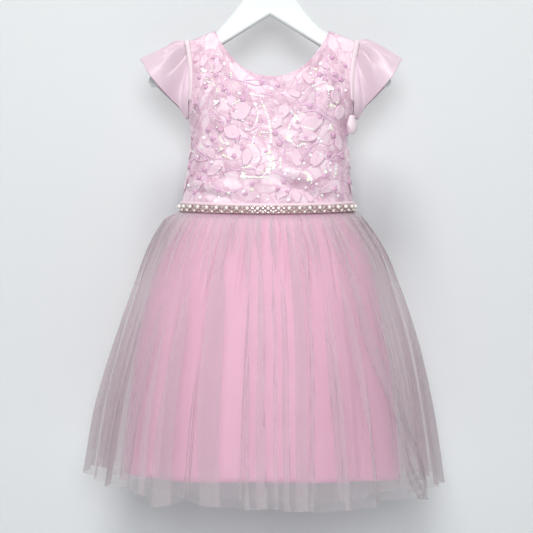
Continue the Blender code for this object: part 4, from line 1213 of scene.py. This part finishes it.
# Folds where the net laps over itself: place at the waist and at the hem, how late it bends there, half
# width, how far it laps as a share of that, lift of its upper side (below 0 when that is its right side),
# and the drops where it starts and is full. These folds don't end above the hem.
TULLE_FOLDS = {
    FRONT: (
        (0.190, 0.208, 1.0, 0.014, 1.30, 0.0020, 0.080, 0.180),
        (0.245, 0.262, 1.0, 0.006, 1.15, 0.0015, 0.120, 0.240),
        (0.284, 0.300, 1.0, 0.009, 1.20, 0.0018, 0.090, 0.200),
        (0.334, 0.347, 1.0, 0.017, 0.95, -0.0020, 0.060, 0.160),
        (0.398, 0.432, 1.0, 0.021, 1.20, -0.0024, 0.008, 0.120),
        (0.470, 0.484, 1.0, 0.005, 1.15, 0.0015, 0.130, 0.240),
        (0.490, 0.498, 1.0, 0.006, 1.20, 0.0018, 0.020, 0.100),
        (0.506, 0.512, 1.0, 0.004, 1.15, -0.0015, 0.040, 0.120),
        (0.521, 0.524, 1.0, 0.006, 1.15, 0.0016, 0.050, 0.130),
        (0.552, 0.545, 1.0, 0.012, 1.30, 0.0022, 0.010, 0.070),
        (0.572, 0.560, 1.0, 0.004, 1.10, 0.0015, 0.020, 0.090),
        (0.610, 0.616, 1.0, 0.007, 1.20, -0.0018, 0.060, 0.160),
        (0.655, 0.700, 4.0, 0.008, 1.20, 0.0020, 0.050, 0.140),
        (0.690, 0.792, 1.8, 0.008, 1.30, 0.0026, 0.030, 0.100),
        (0.722, 0.812, 1.6, 0.005, 1.15, 0.0016, 0.080, 0.170),
    ),
    BACK: (
        (0.250, 0.240, 1.0, 0.024, 1.40, 0.0026, 0.010, 0.090),
        (0.330, 0.322, 1.0, 0.006, 1.20, -0.0018, 0.040, 0.140),
        (0.400, 0.396, 1.0, 0.014, 1.30, -0.0022, 0.020, 0.100),
        (0.470, 0.474, 1.0, 0.005, 1.15, 0.0015, 0.100, 0.200),
        (0.530, 0.534, 1.0, 0.020, 1.35, 0.0026, 0.010, 0.080),
        (0.600, 0.612, 1.0, 0.007, 1.20, -0.0018, 0.060, 0.160),
        (0.670, 0.690, 1.5, 0.012, 1.30, 0.0020, 0.030, 0.120),
        (0.745, 0.790, 2.0, 0.008, 1.25, -0.0018, 0.060, 0.160),
    ),
}
# How the raw hem hangs above or below its smooth line: place from the left, and change
HEM_RISE = {
    FRONT: ((0.0, 0.0), (0.235, 0.002), (0.275, 0.007), (0.312, 0.0), (0.348, -0.008), (0.374, 0.003),
            (0.400, 0.009), (0.414, -0.001), (0.450, 0.0), (0.500, -0.002), (0.550, -0.006), (0.700, -0.008),
            (0.716, -0.004), (0.760, -0.004), (0.802, -0.010), (0.826, 0.001), (1.0, 0.0)),
    BACK: ((0.0, 0.0), (0.150, -0.006), (0.240, 0.002), (0.300, 0.005), (0.440, -0.005), (0.560, 0.001),
           (0.620, 0.005), (0.690, -0.004), (0.800, -0.006), (0.900, 0.002), (1.0, 0.0)),
}
PAST_HEM = 9.0
TULLE_LAYERS = (
    # name, columns, rows, share of the way in to the lining, how much shorter, scale of flutes, seed, width
    ("tulle_outer", 620, 54, 0.0, 0.0, 1.0, 3, 0.98),
    ("tulle_inner", 380, 42, 0.36, 0.008, 0.8, 8, 0.76),
)


def tulle_finish():
    """Soft net, its fine threads bunched in faint upright streaks and in its folds.

    It covers more at a slant. Its threads pass light on, so what lies behind tints them."""
    material, tree, shader = new_finish("soft_tulle", (0.40, 0.365, 0.38), 0.75)
    shader.inputs["Specular IOR Level"].default_value = 0.2
    place = where(tree, "UV")
    edge_on = tree.nodes.new("ShaderNodeLayerWeight")
    edge_on.inputs["Blend"].default_value = 0.35
    folded = add_node(tree, "ShaderNodeAttribute", attribute_name="bunched")
    shares = []
    for across, down, low, high, weight in ((38.0, 1.2, 0.36, 0.64, 0.014), (150.0, 2.0, 0.30, 0.70, 0.004),
                                            (420.0, 3.0, 0.40, 0.75, 0.004)):
        bunch = add_node(tree, "ShaderNodeMapping", [("Vector", place)], Scale=(across, down, 1.0))
        streaks = noise(tree, bunch.outputs["Vector"], 1.0, 2.0)
        shares.append((spread(tree, streaks, low, high), weight))
    shares += [(edge_on.outputs["Facing"], 0.34), (folded.outputs["Fac"], 0.03)]
    cover = 0.078
    for share, weight in shares:
        cover = arithmetic(tree, "ADD", arithmetic(tree, "MULTIPLY", share, weight), cover)
    tree.links.new(cover, shader.inputs["Alpha"])
    glow = add_node(tree, "ShaderNodeVectorMath", [(0, cover)], operation="MULTIPLY")
    glow.inputs[1].default_value = (0.365, 0.357, 0.362)
    through = add_node(tree, "ShaderNodeBsdfTranslucent", [("Color", glow.outputs["Vector"])])
    both = add_node(tree, "ShaderNodeAddShader", [(0, shader.outputs["BSDF"]), (1, through.outputs["BSDF"])])
    tree.links.new(both.outputs["Shader"], tree.nodes["Material Output"].inputs["Surface"])
    return material


def net_normals(points, ways):
    """Unit normals of a grid of points, on the side where the ways point."""
    normals = np.cross(np.gradient(points, axis=1), np.gradient(points, axis=0))
    normals /= np.maximum(np.linalg.norm(normals, axis=-1, keepdims=True), 1e-12)
    return normals * np.sign(np.mean(np.sum(normals * ways, axis=-1)))


def net_shell(name, points, ways, shading, bunched, finish, size, heights):
    """A thin closed shell of net outside a grid of points, shaded with the normals of the skirt it hangs in.

    Net scatters light from its round threads, so the lie of each small fold hardly changes its shade."""
    rows, columns = points.shape[:2]
    normals = net_normals(points, ways)
    outer = points + normals * NET_WALL
    count = rows * columns
    at = np.arange(count).reshape(rows, columns)
    a, b, c, d = at[:-1, :-1].ravel(), at[:-1, 1:].ravel(), at[1:, 1:].ravel(), at[1:, :-1].ravel()
    edge = np.concatenate([at[0, :], at[1:, -1], at[-1, -2::-1], at[-2:0:-1, 0]])
    after = np.roll(edge, -1)
    faces = np.concatenate([np.column_stack([a, b, c, d]), np.column_stack([d, c, b, a]) + count,
                            np.column_stack([edge, edge + count, after + count, after])])
    mesh = bpy.data.meshes.new(name)
    mesh.from_pydata(np.concatenate([outer, points]).reshape(-1, 3).tolist(), [], faces.tolist())
    places = flat_places(heights, columns, size)[faces.ravel() % count]
    mesh.uv_layers.new(name="cloth").data.foreach_set("uv", places.ravel())
    mesh.attributes.new("bunched", "FLOAT", "POINT").data.foreach_set(
        "value", np.tile(bunched.ravel(), 2).astype(np.float32))
    smooth = shading.reshape(-1, 3)[faces % count]
    away = np.where(np.sum(normals.reshape(-1, 3)[faces % count] * smooth, axis=(1, 2)) < 0, -1.0, 1.0)
    away[len(a):2 * len(a)] *= -1
    mesh.shade_smooth()
    mesh.normals_split_custom_set((smooth * away[:, None, None]).reshape(-1, 3).tolist())
    return add_to_dress(name, mesh, finish, smooth=False)


def lay_folds(left, drop, folds):
    """How far folds slide the net round the body, as a share of the panel, and how far they lift it."""
    slide, lift = np.zeros(left.shape), np.zeros(left.shape)
    for top, hem, bend, half_width, lap, height, start, full, end in folds:
        off = np.clip((left - mix(top, hem, (drop / TULLE_LENGTH) ** bend)) / half_width, -1, 1)
        grown = soft_step((drop - start) / (full - start))
        grown *= 1 - soft_step((drop - end / 3) / (end - end / 3))
        wave = np.sin(math.pi * off) * grown
        slide -= lap * half_width * wave
        lift += abs(height) * 0.5 * hump(off) * grown - height * wave
    return slide, lift


def fluted(facing, place, drops, inward, scale):
    """Points of a net panel with its large flutes, inward of the outer net by a share, and the way out."""
    points, ways = skirt_points(facing, TULLE_LEVELS, TULLE_HEM, place, drops)
    if inward:
        points = mix(points, skirt_points(facing, LINING_LEVELS, TULLE_HEM, place, drops)[0], inward)
    out = sum(height * hump((place - at) / half_width) for at, half_width, height in TULLE_FLUTES[facing])
    grown = grown_flutes(np.array(drops)[:, None]) * off_seams(place)
    return points + ways * (scale * out * grown)[..., None], ways


def hem_change(facing, place):
    """How far the hem lies off its smooth line, the corners of its table rounded off."""
    places, changes = zip(*HEM_RISE[facing])
    return sum(np.interp(place + shift, places, changes) for shift in (-0.008, -0.004, 0.0, 0.004, 0.008)) / 5


def inner_folds(rng):
    """The inner layer's few folds that go down to the hem, in the columns of the outer layer's table."""
    folds = []
    for k in range(7):
        top = 0.16 + k * 0.113 + rng.uniform(-0.03, 0.03)
        start = rng.uniform(0.03, 0.10)
        folds.append((top, top + (top - 0.5) * 0.08, 1.0, rng.uniform(0.006, 0.015), rng.uniform(0.85, 1.20),
                      rng.choice((-0.0018, 0.0018)), start, start + 0.10, PAST_HEM))
    return folds


def waist_gathers(rng):
    """Fine gathers side by side at the waist, which fan out and die away below it."""
    folds, at = [], 0.012
    while at < 0.988:
        half_width = rng.uniform(0.006, 0.013)
        folds.append((at, at + (at - 0.5) * 0.04, 1.0, half_width, rng.uniform(0.7, 1.2),
                      rng.choice((-1, 1)) * rng.uniform(0.0010, 0.0018), 0.002, 0.022,
                      rng.uniform(0.05, 0.14)))
        at += half_width * rng.uniform(1.8, 3.2)
    return folds


def skirt_shading(facing, left, place, drops, inward, scale):
    """Normals for shading where the net has slid to: the plain skirt's, with a little of its flutes."""
    smooth = (0.2 * net_normals(*fluted(facing, left, drops, inward, scale))
              + 0.8 * net_normals(*fluted(facing, left, drops, inward, 0.0)))
    smooth /= np.linalg.norm(smooth, axis=-1, keepdims=True)
    order = np.argsort(left[0])
    return np.stack([np.array([np.interp(row, left[0][order], line[order]) for row, line in zip(place, part)])
                     for part in np.moveaxis(smooth, -1, 0)], axis=-1)


tulle_net = tulle_finish()
for name, steps, rows, inward, shorter, scale, seed, width in TULLE_LAYERS:
    for facing in (FRONT, BACK):
        rng = random.Random(seed + (0 if facing == FRONT else 100))
        drops = [TULLE_LENGTH * (row / rows) ** 1.25 for row in range(rows + 1)]
        left, drop = panel_places(facing, steps, drops)
        folds = inner_folds(rng) if inward else [(*row, PAST_HEM) for row in TULLE_FOLDS[facing]]
        slide, lift = lay_folds(left, drop, folds + waist_gathers(rng))
        to_seam = off_seams(left) * soft_step((drop - 0.003) / 0.010)
        place = left + slide * to_seam
        bunched = (1 - np.minimum(np.abs(np.gradient(place, axis=1) / np.gradient(left, axis=1)), 1)) ** 2
        shading = skirt_shading(facing, left, place, drops, inward, scale)
        points, ways = fluted(facing, place, drops, inward, scale)
        fallen = drop / TULLE_LENGTH
        points[..., 2] += shorter * fallen + hem_change(facing, place) * fallen ** 3
        points += ways * (lift * to_seam)[..., None]
        piece = net_shell(name + "_" + facing, points[::-1], ways[::-1], shading[::-1], bunched[::-1],
                          tulle_net, (width, TULLE_CUT), [1 - fall / TULLE_LENGTH for fall in drops[::-1]])
        if inward == 0:
            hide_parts("tulle_" + facing)


# ---------------------------------------------------------------- pearl belt
# A narrow satin band over the waist seam, with a pale satin piping above it. Two staggered rows of imitation
# pearls are sewn to the band, large above and small below, with silvery beads and cut stones all round them.

BELT_HEIGHT, BELT_WALL = 0.014, 0.0008
BELT_LIFT = BODICE_WALL + 0.0012
PEARL_PITCH, WAIST_STEPS, STRIP_STEPS = 0.0129, 1440, 300


def waist_spot(turn, reach, down):
    """A point round the waist: turn 0 to 1 along the front and 1 to 2 along the back."""
    facing = FRONT if turn % 2 < 1 else BACK
    depth = bodice_at(WAIST_Z, facing)
    x, y = oval(turn % 1, bodice_at(WAIST_Z, "middle"), bodice_at(WAIST_Z, "half_width") + reach,
                depth + reach, facing)
    return Vector((x, y, waist_height(turn % 1, facing) + BELT_HEIGHT / 2 - down))


samples = [waist_spot(2 * i / WAIST_STEPS, BELT_LIFT, 0) for i in range(WAIST_STEPS + 1)]
reach = np.concatenate([[0], np.cumsum([(b - a).length for a, b in zip(samples, samples[1:])])])
GIRTH = float(reach[-1])
PEARLS = round(GIRTH / PEARL_PITCH)


def turn_at(distance):
    return float(np.interp(distance % GIRTH, reach, np.linspace(0, 2, WAIST_STEPS + 1)))


def belt_spot(distance, down, lift=0.0):
    turn = turn_at(distance)
    here = waist_spot(turn, BELT_LIFT + BELT_WALL + lift, down)
    ahead = waist_spot(turn_at(distance + 0.001), BELT_LIFT + BELT_WALL + lift, down)
    side = (ahead - here).normalized()
    return here, side.cross(Vector((0, 0, 1))).normalized(), side


def ring_strip(name, profile, wall, finish, flat):
    """A strip of cloth round the waist. The profile is rows of height over the belt's foot, and reach."""
    around = STRIP_STEPS
    turns = [turn_at(GIRTH * k / around) for k in range(around)]
    points = [waist_spot(turn, BODICE_WALL + out, BELT_HEIGHT - up) for up, out in profile for turn in turns]
    mesh = bpy.data.meshes.new(name)
    mesh.from_pydata([tuple(spot) for spot in points], [], [
        (row * around + k, row * around + (k + 1) % around, (row + 1) * around + (k + 1) % around,
         (row + 1) * around + k) for row in range(len(profile) - 1) for k in range(around)])
    layer = mesh.uv_layers.new(name="cloth")
    for face in mesh.polygons:
        for loop, (right, above) in zip(face.loop_indices, ((0, 0), (1, 0), (1, 1), (0, 1))):
            layer.data[loop].uv = ((face.index % around + right) / around * flat[0],
                                   (face.index // around + above) / (len(profile) - 1) * flat[1])
    piece = add_to_dress(name, mesh, finish)
    shell = piece.modifiers.new("wall", "SOLIDIFY")
    shell.thickness = wall
    shell.offset = 1.0
    return piece


piping_satin = satin_finish("piping_satin", (0.78, 0.58, 0.66), (0.86, 0.70, 0.76), 0.45, 0.2)
ring_strip("waist_piping", ((0.0092, 0.0006), (0.0100, 0.0010), (0.0116, 0.0013), (0.0128, 0.0012),
                            (0.0134, 0.0008), (0.0130, 0.0004), (0.0112, 0.0004)), 0.0004, piping_satin,
           (0.55, 0.010))
# The band's satin is a deep brownish rose, its own colour darkened further as painted shade between the
# beads.
gap_shaded_band_cloth = satin_finish("belt_band_cloth", (0.26, 0.13, 0.15), (0.48, 0.28, 0.31), 0.6, 0.1, 0.0008, 200.0)
band = ring_strip("belt_band_strip", ((0.0004, 0.0012), (0.0028, 0.0013), (0.0052, 0.0013), (0.0076, 0.0013),
                                      (0.0100, 0.0012)), BELT_WALL, gap_shaded_band_cloth, (0.55, 0.0105))
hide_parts("belt_band")


def belt_seat(distance, down, size, lift=0.0):
    here, out, side = belt_spot(distance, down, lift)
    return here, side, out.cross(side), out, size


pearl_coat, tree, shader = new_finish("imitation_pearl", (0.92, 0.88, 0.84), 0.20)
shader.inputs["Coat Weight"].default_value = 0.8
shader.inputs["Coat Roughness"].default_value = 0.06
# A noise drifts the pearls' colour from greyer to paler cream: painted lustre.
painted_lustre = noise(tree, where(tree, "Object"), 120.0, 2.0)
blend_colours(tree, painted_lustre, (0.78, 0.72, 0.68), (0.92, 0.90, 0.85), shader)
bpy.ops.mesh.primitive_uv_sphere_add(segments=12, ring_count=8, radius=1.0)
bpy.ops.object.mode_set(mode="EDIT")
choose(lambda spot: abs(spot.z) > 0.85)
bpy.ops.transform.resize(value=(1.0, 1.0, 0.94), center_override=(0, 0, 0))
pearl = take_shape()
# Down from the band's top, radius and lift of the large pearls and of the small ones between them
seats = [belt_seat(GIRTH * (k + shift) / PEARLS, down, radius, lift)
         for shift, down, radius, lift in ((0.0, 0.0066, 0.0025, 0.0017), (0.5, 0.0112, 0.0017, 0.0010))
         for k in range(PEARLS)]
pearls = sew_on("belt_pearls", pearl, seats, pearl_coat)

seed_bead, tree, shader = new_finish("silver_seed_bead", (0.72, 0.62, 0.60), 0.28, 0.35)
tones = noise(tree, where(tree, "Object"), 420.0, 1.0)
blend_colours(tree, tones, (0.20, 0.12, 0.12), (0.82, 0.66, 0.65), shader)
bpy.ops.mesh.primitive_cylinder_add(vertices=6, radius=1.0, depth=1.3, rotation=(0, math.pi / 2, 0))
bpy.ops.object.transform_apply(rotation=True)
bpy.ops.object.mode_set(mode="EDIT")
bpy.ops.mesh.select_all(action="SELECT")
bpy.ops.mesh.bevel(offset=0.3, segments=1, affect="EDGES")
tube = take_shape()
rng = random.Random(4)
seats = []
for row, down in enumerate((0.0040, 0.0058, 0.0088, 0.0122)):
    count = round(GIRTH / (0.0023 if row % 2 else 0.0027))
    for k in range(count):
        distance = GIRTH * (k + 0.5 * (row % 2)) / count
        seats.append(belt_seat(distance, down + rng.uniform(-0.0006, 0.0006), rng.uniform(0.0008, 0.0011),
                               0.0004))
beads = sew_on("belt_seed_beads", tube, seats, seed_bead)

cut_stone, tree, shader = new_finish("cut_stone", (0.86, 0.86, 0.85), 0.08, 0.25)
shader.inputs["Coat Weight"].default_value = 1.0
# A fine noise flickers the stones' colour between dark and bright: painted sparkle, glints and dark facets.
painted_sparkle = noise(tree, where(tree, "Object"), 700.0, 0.0)
blend_colours(tree, painted_sparkle, (0.50, 0.40, 0.40), (0.95, 0.91, 0.88), shader)
bpy.ops.mesh.primitive_cylinder_add(vertices=8, radius=1.0, depth=0.6, location=(0, 0, 0.3))
bpy.ops.object.transform_apply(location=True)
bpy.ops.object.mode_set(mode="EDIT")
choose(lambda spot: spot.z > 0.5)
bpy.ops.mesh.inset(thickness=0.4, depth=0.4)
facets = take_shape()
seats = []
for k in range(PEARLS):
    for shift, down, size in ((0.5, 0.0062, 0.0016), (0.27, 0.0094, 0.0012), (0.73, 0.0094, 0.0012),
                              (0.0, 0.0118, 0.0012), (0.3, 0.0040, 0.0010), (0.7, 0.0040, 0.0010)):
        seats.append(belt_seat(GIRTH * (k + shift) / PEARLS, down, size))
stones = sew_on("belt_stones", facets, seats, cut_stone, smooth=False)


# ---------------------------------------------------------------- room
# A pale wall close behind the dress and a pale floor below it. A large soft light stands high in front, a
# weaker one at the camera and two low ones behind, and the camera is level with the middle of the dress.

wall_paint, tree, shader = new_finish("pale_wall", (0.685, 0.71, 0.72), 0.9)
shader.inputs["Specular IOR Level"].default_value = 0.1
# The wall shows from the front alone and casts no shadow, so that the lights behind it reach the dress.
facing_away = tree.nodes.new("ShaderNodeNewGeometry").outputs["Backfacing"]
shadow_ray = tree.nodes.new("ShaderNodeLightPath").outputs["Is Shadow Ray"]
clear = tree.nodes.new("ShaderNodeBsdfTransparent")
hidden = arithmetic(tree, "MAXIMUM", facing_away, shadow_ray)
shown = add_node(tree, "ShaderNodeMixShader", [("Fac", hidden), (1, shader.outputs["BSDF"]),
                                               (2, clear.outputs["BSDF"])])
tree.links.new(shown.outputs["Shader"], tree.nodes["Material Output"].inputs["Surface"])
bpy.ops.mesh.primitive_plane_add(size=6.0, location=(0, 0.142, 0.6), rotation=(math.pi / 2, 0, 0))
wall = bpy.context.object
wall.name = "room_wall"
wall.data.materials.append(wall_paint)
bpy.ops.object.transform_apply(location=True, rotation=True)
floor_paint, tree, shader = new_finish("pale_floor", (0.72, 0.74, 0.75), 0.8)
bpy.ops.mesh.primitive_plane_add(size=8.0, location=(0, 0, -0.95))
floor = bpy.context.object
floor.name = "room_floor"
floor.data.materials.append(floor_paint)
bpy.ops.object.transform_apply(location=True)

# name, place, what it faces, size, power, colour
LIGHTS = (
    ("key_light", (-0.22, -1.60, 2.05), (0.0, 0.0, -0.35), 0.90, 58.0, (1.0, 0.985, 0.97)),
    ("fill_light", (0.0, -2.10, 0.0), (0.0, 0.0, -0.33), 0.60, 21.5, (0.98, 0.99, 1.0)),
    ("back_left", (-1.3, 1.7, 0.9), (0.0, 0.1, -0.4), 1.4, 9.0, (1.0, 1.0, 1.0)),
    ("back_right", (1.3, 1.7, 0.9), (0.0, 0.1, -0.4), 1.4, 9.0, (1.0, 1.0, 1.0)),
)
for name, at, towards, size, power, colour in LIGHTS:
    lamp = bpy.data.lights.new(name, "AREA")
    lamp.size = size
    lamp.energy = power
    lamp.color = colour
    holder = bpy.data.objects.new(name, lamp)
    holder.location = at
    holder.rotation_euler = (Vector(towards) - Vector(at)).to_track_quat("-Z", "Y").to_euler()
    bpy.context.scene.collection.objects.link(holder)
scene = bpy.context.scene
scene.world = bpy.data.worlds.new("studio")
scene.world.use_nodes = True
background = scene.world.node_tree.nodes["Background"]
background.inputs["Color"].default_value = (0.96, 0.98, 1.0, 1.0)
background.inputs["Strength"].default_value = 0.13
scene.view_settings.view_transform = "Standard"
scene.cycles.transparent_max_bounces = 48

camera = bpy.data.cameras.new("camera")
camera.lens = 88.0
camera.sensor_width = 36.0
holder = bpy.data.objects.new("camera", camera)
holder.location = (-0.00455, -1.6938, -0.440)
holder.rotation_euler = (math.pi / 2, 0, 0)
scene.collection.objects.link(holder)
scene.camera = holder
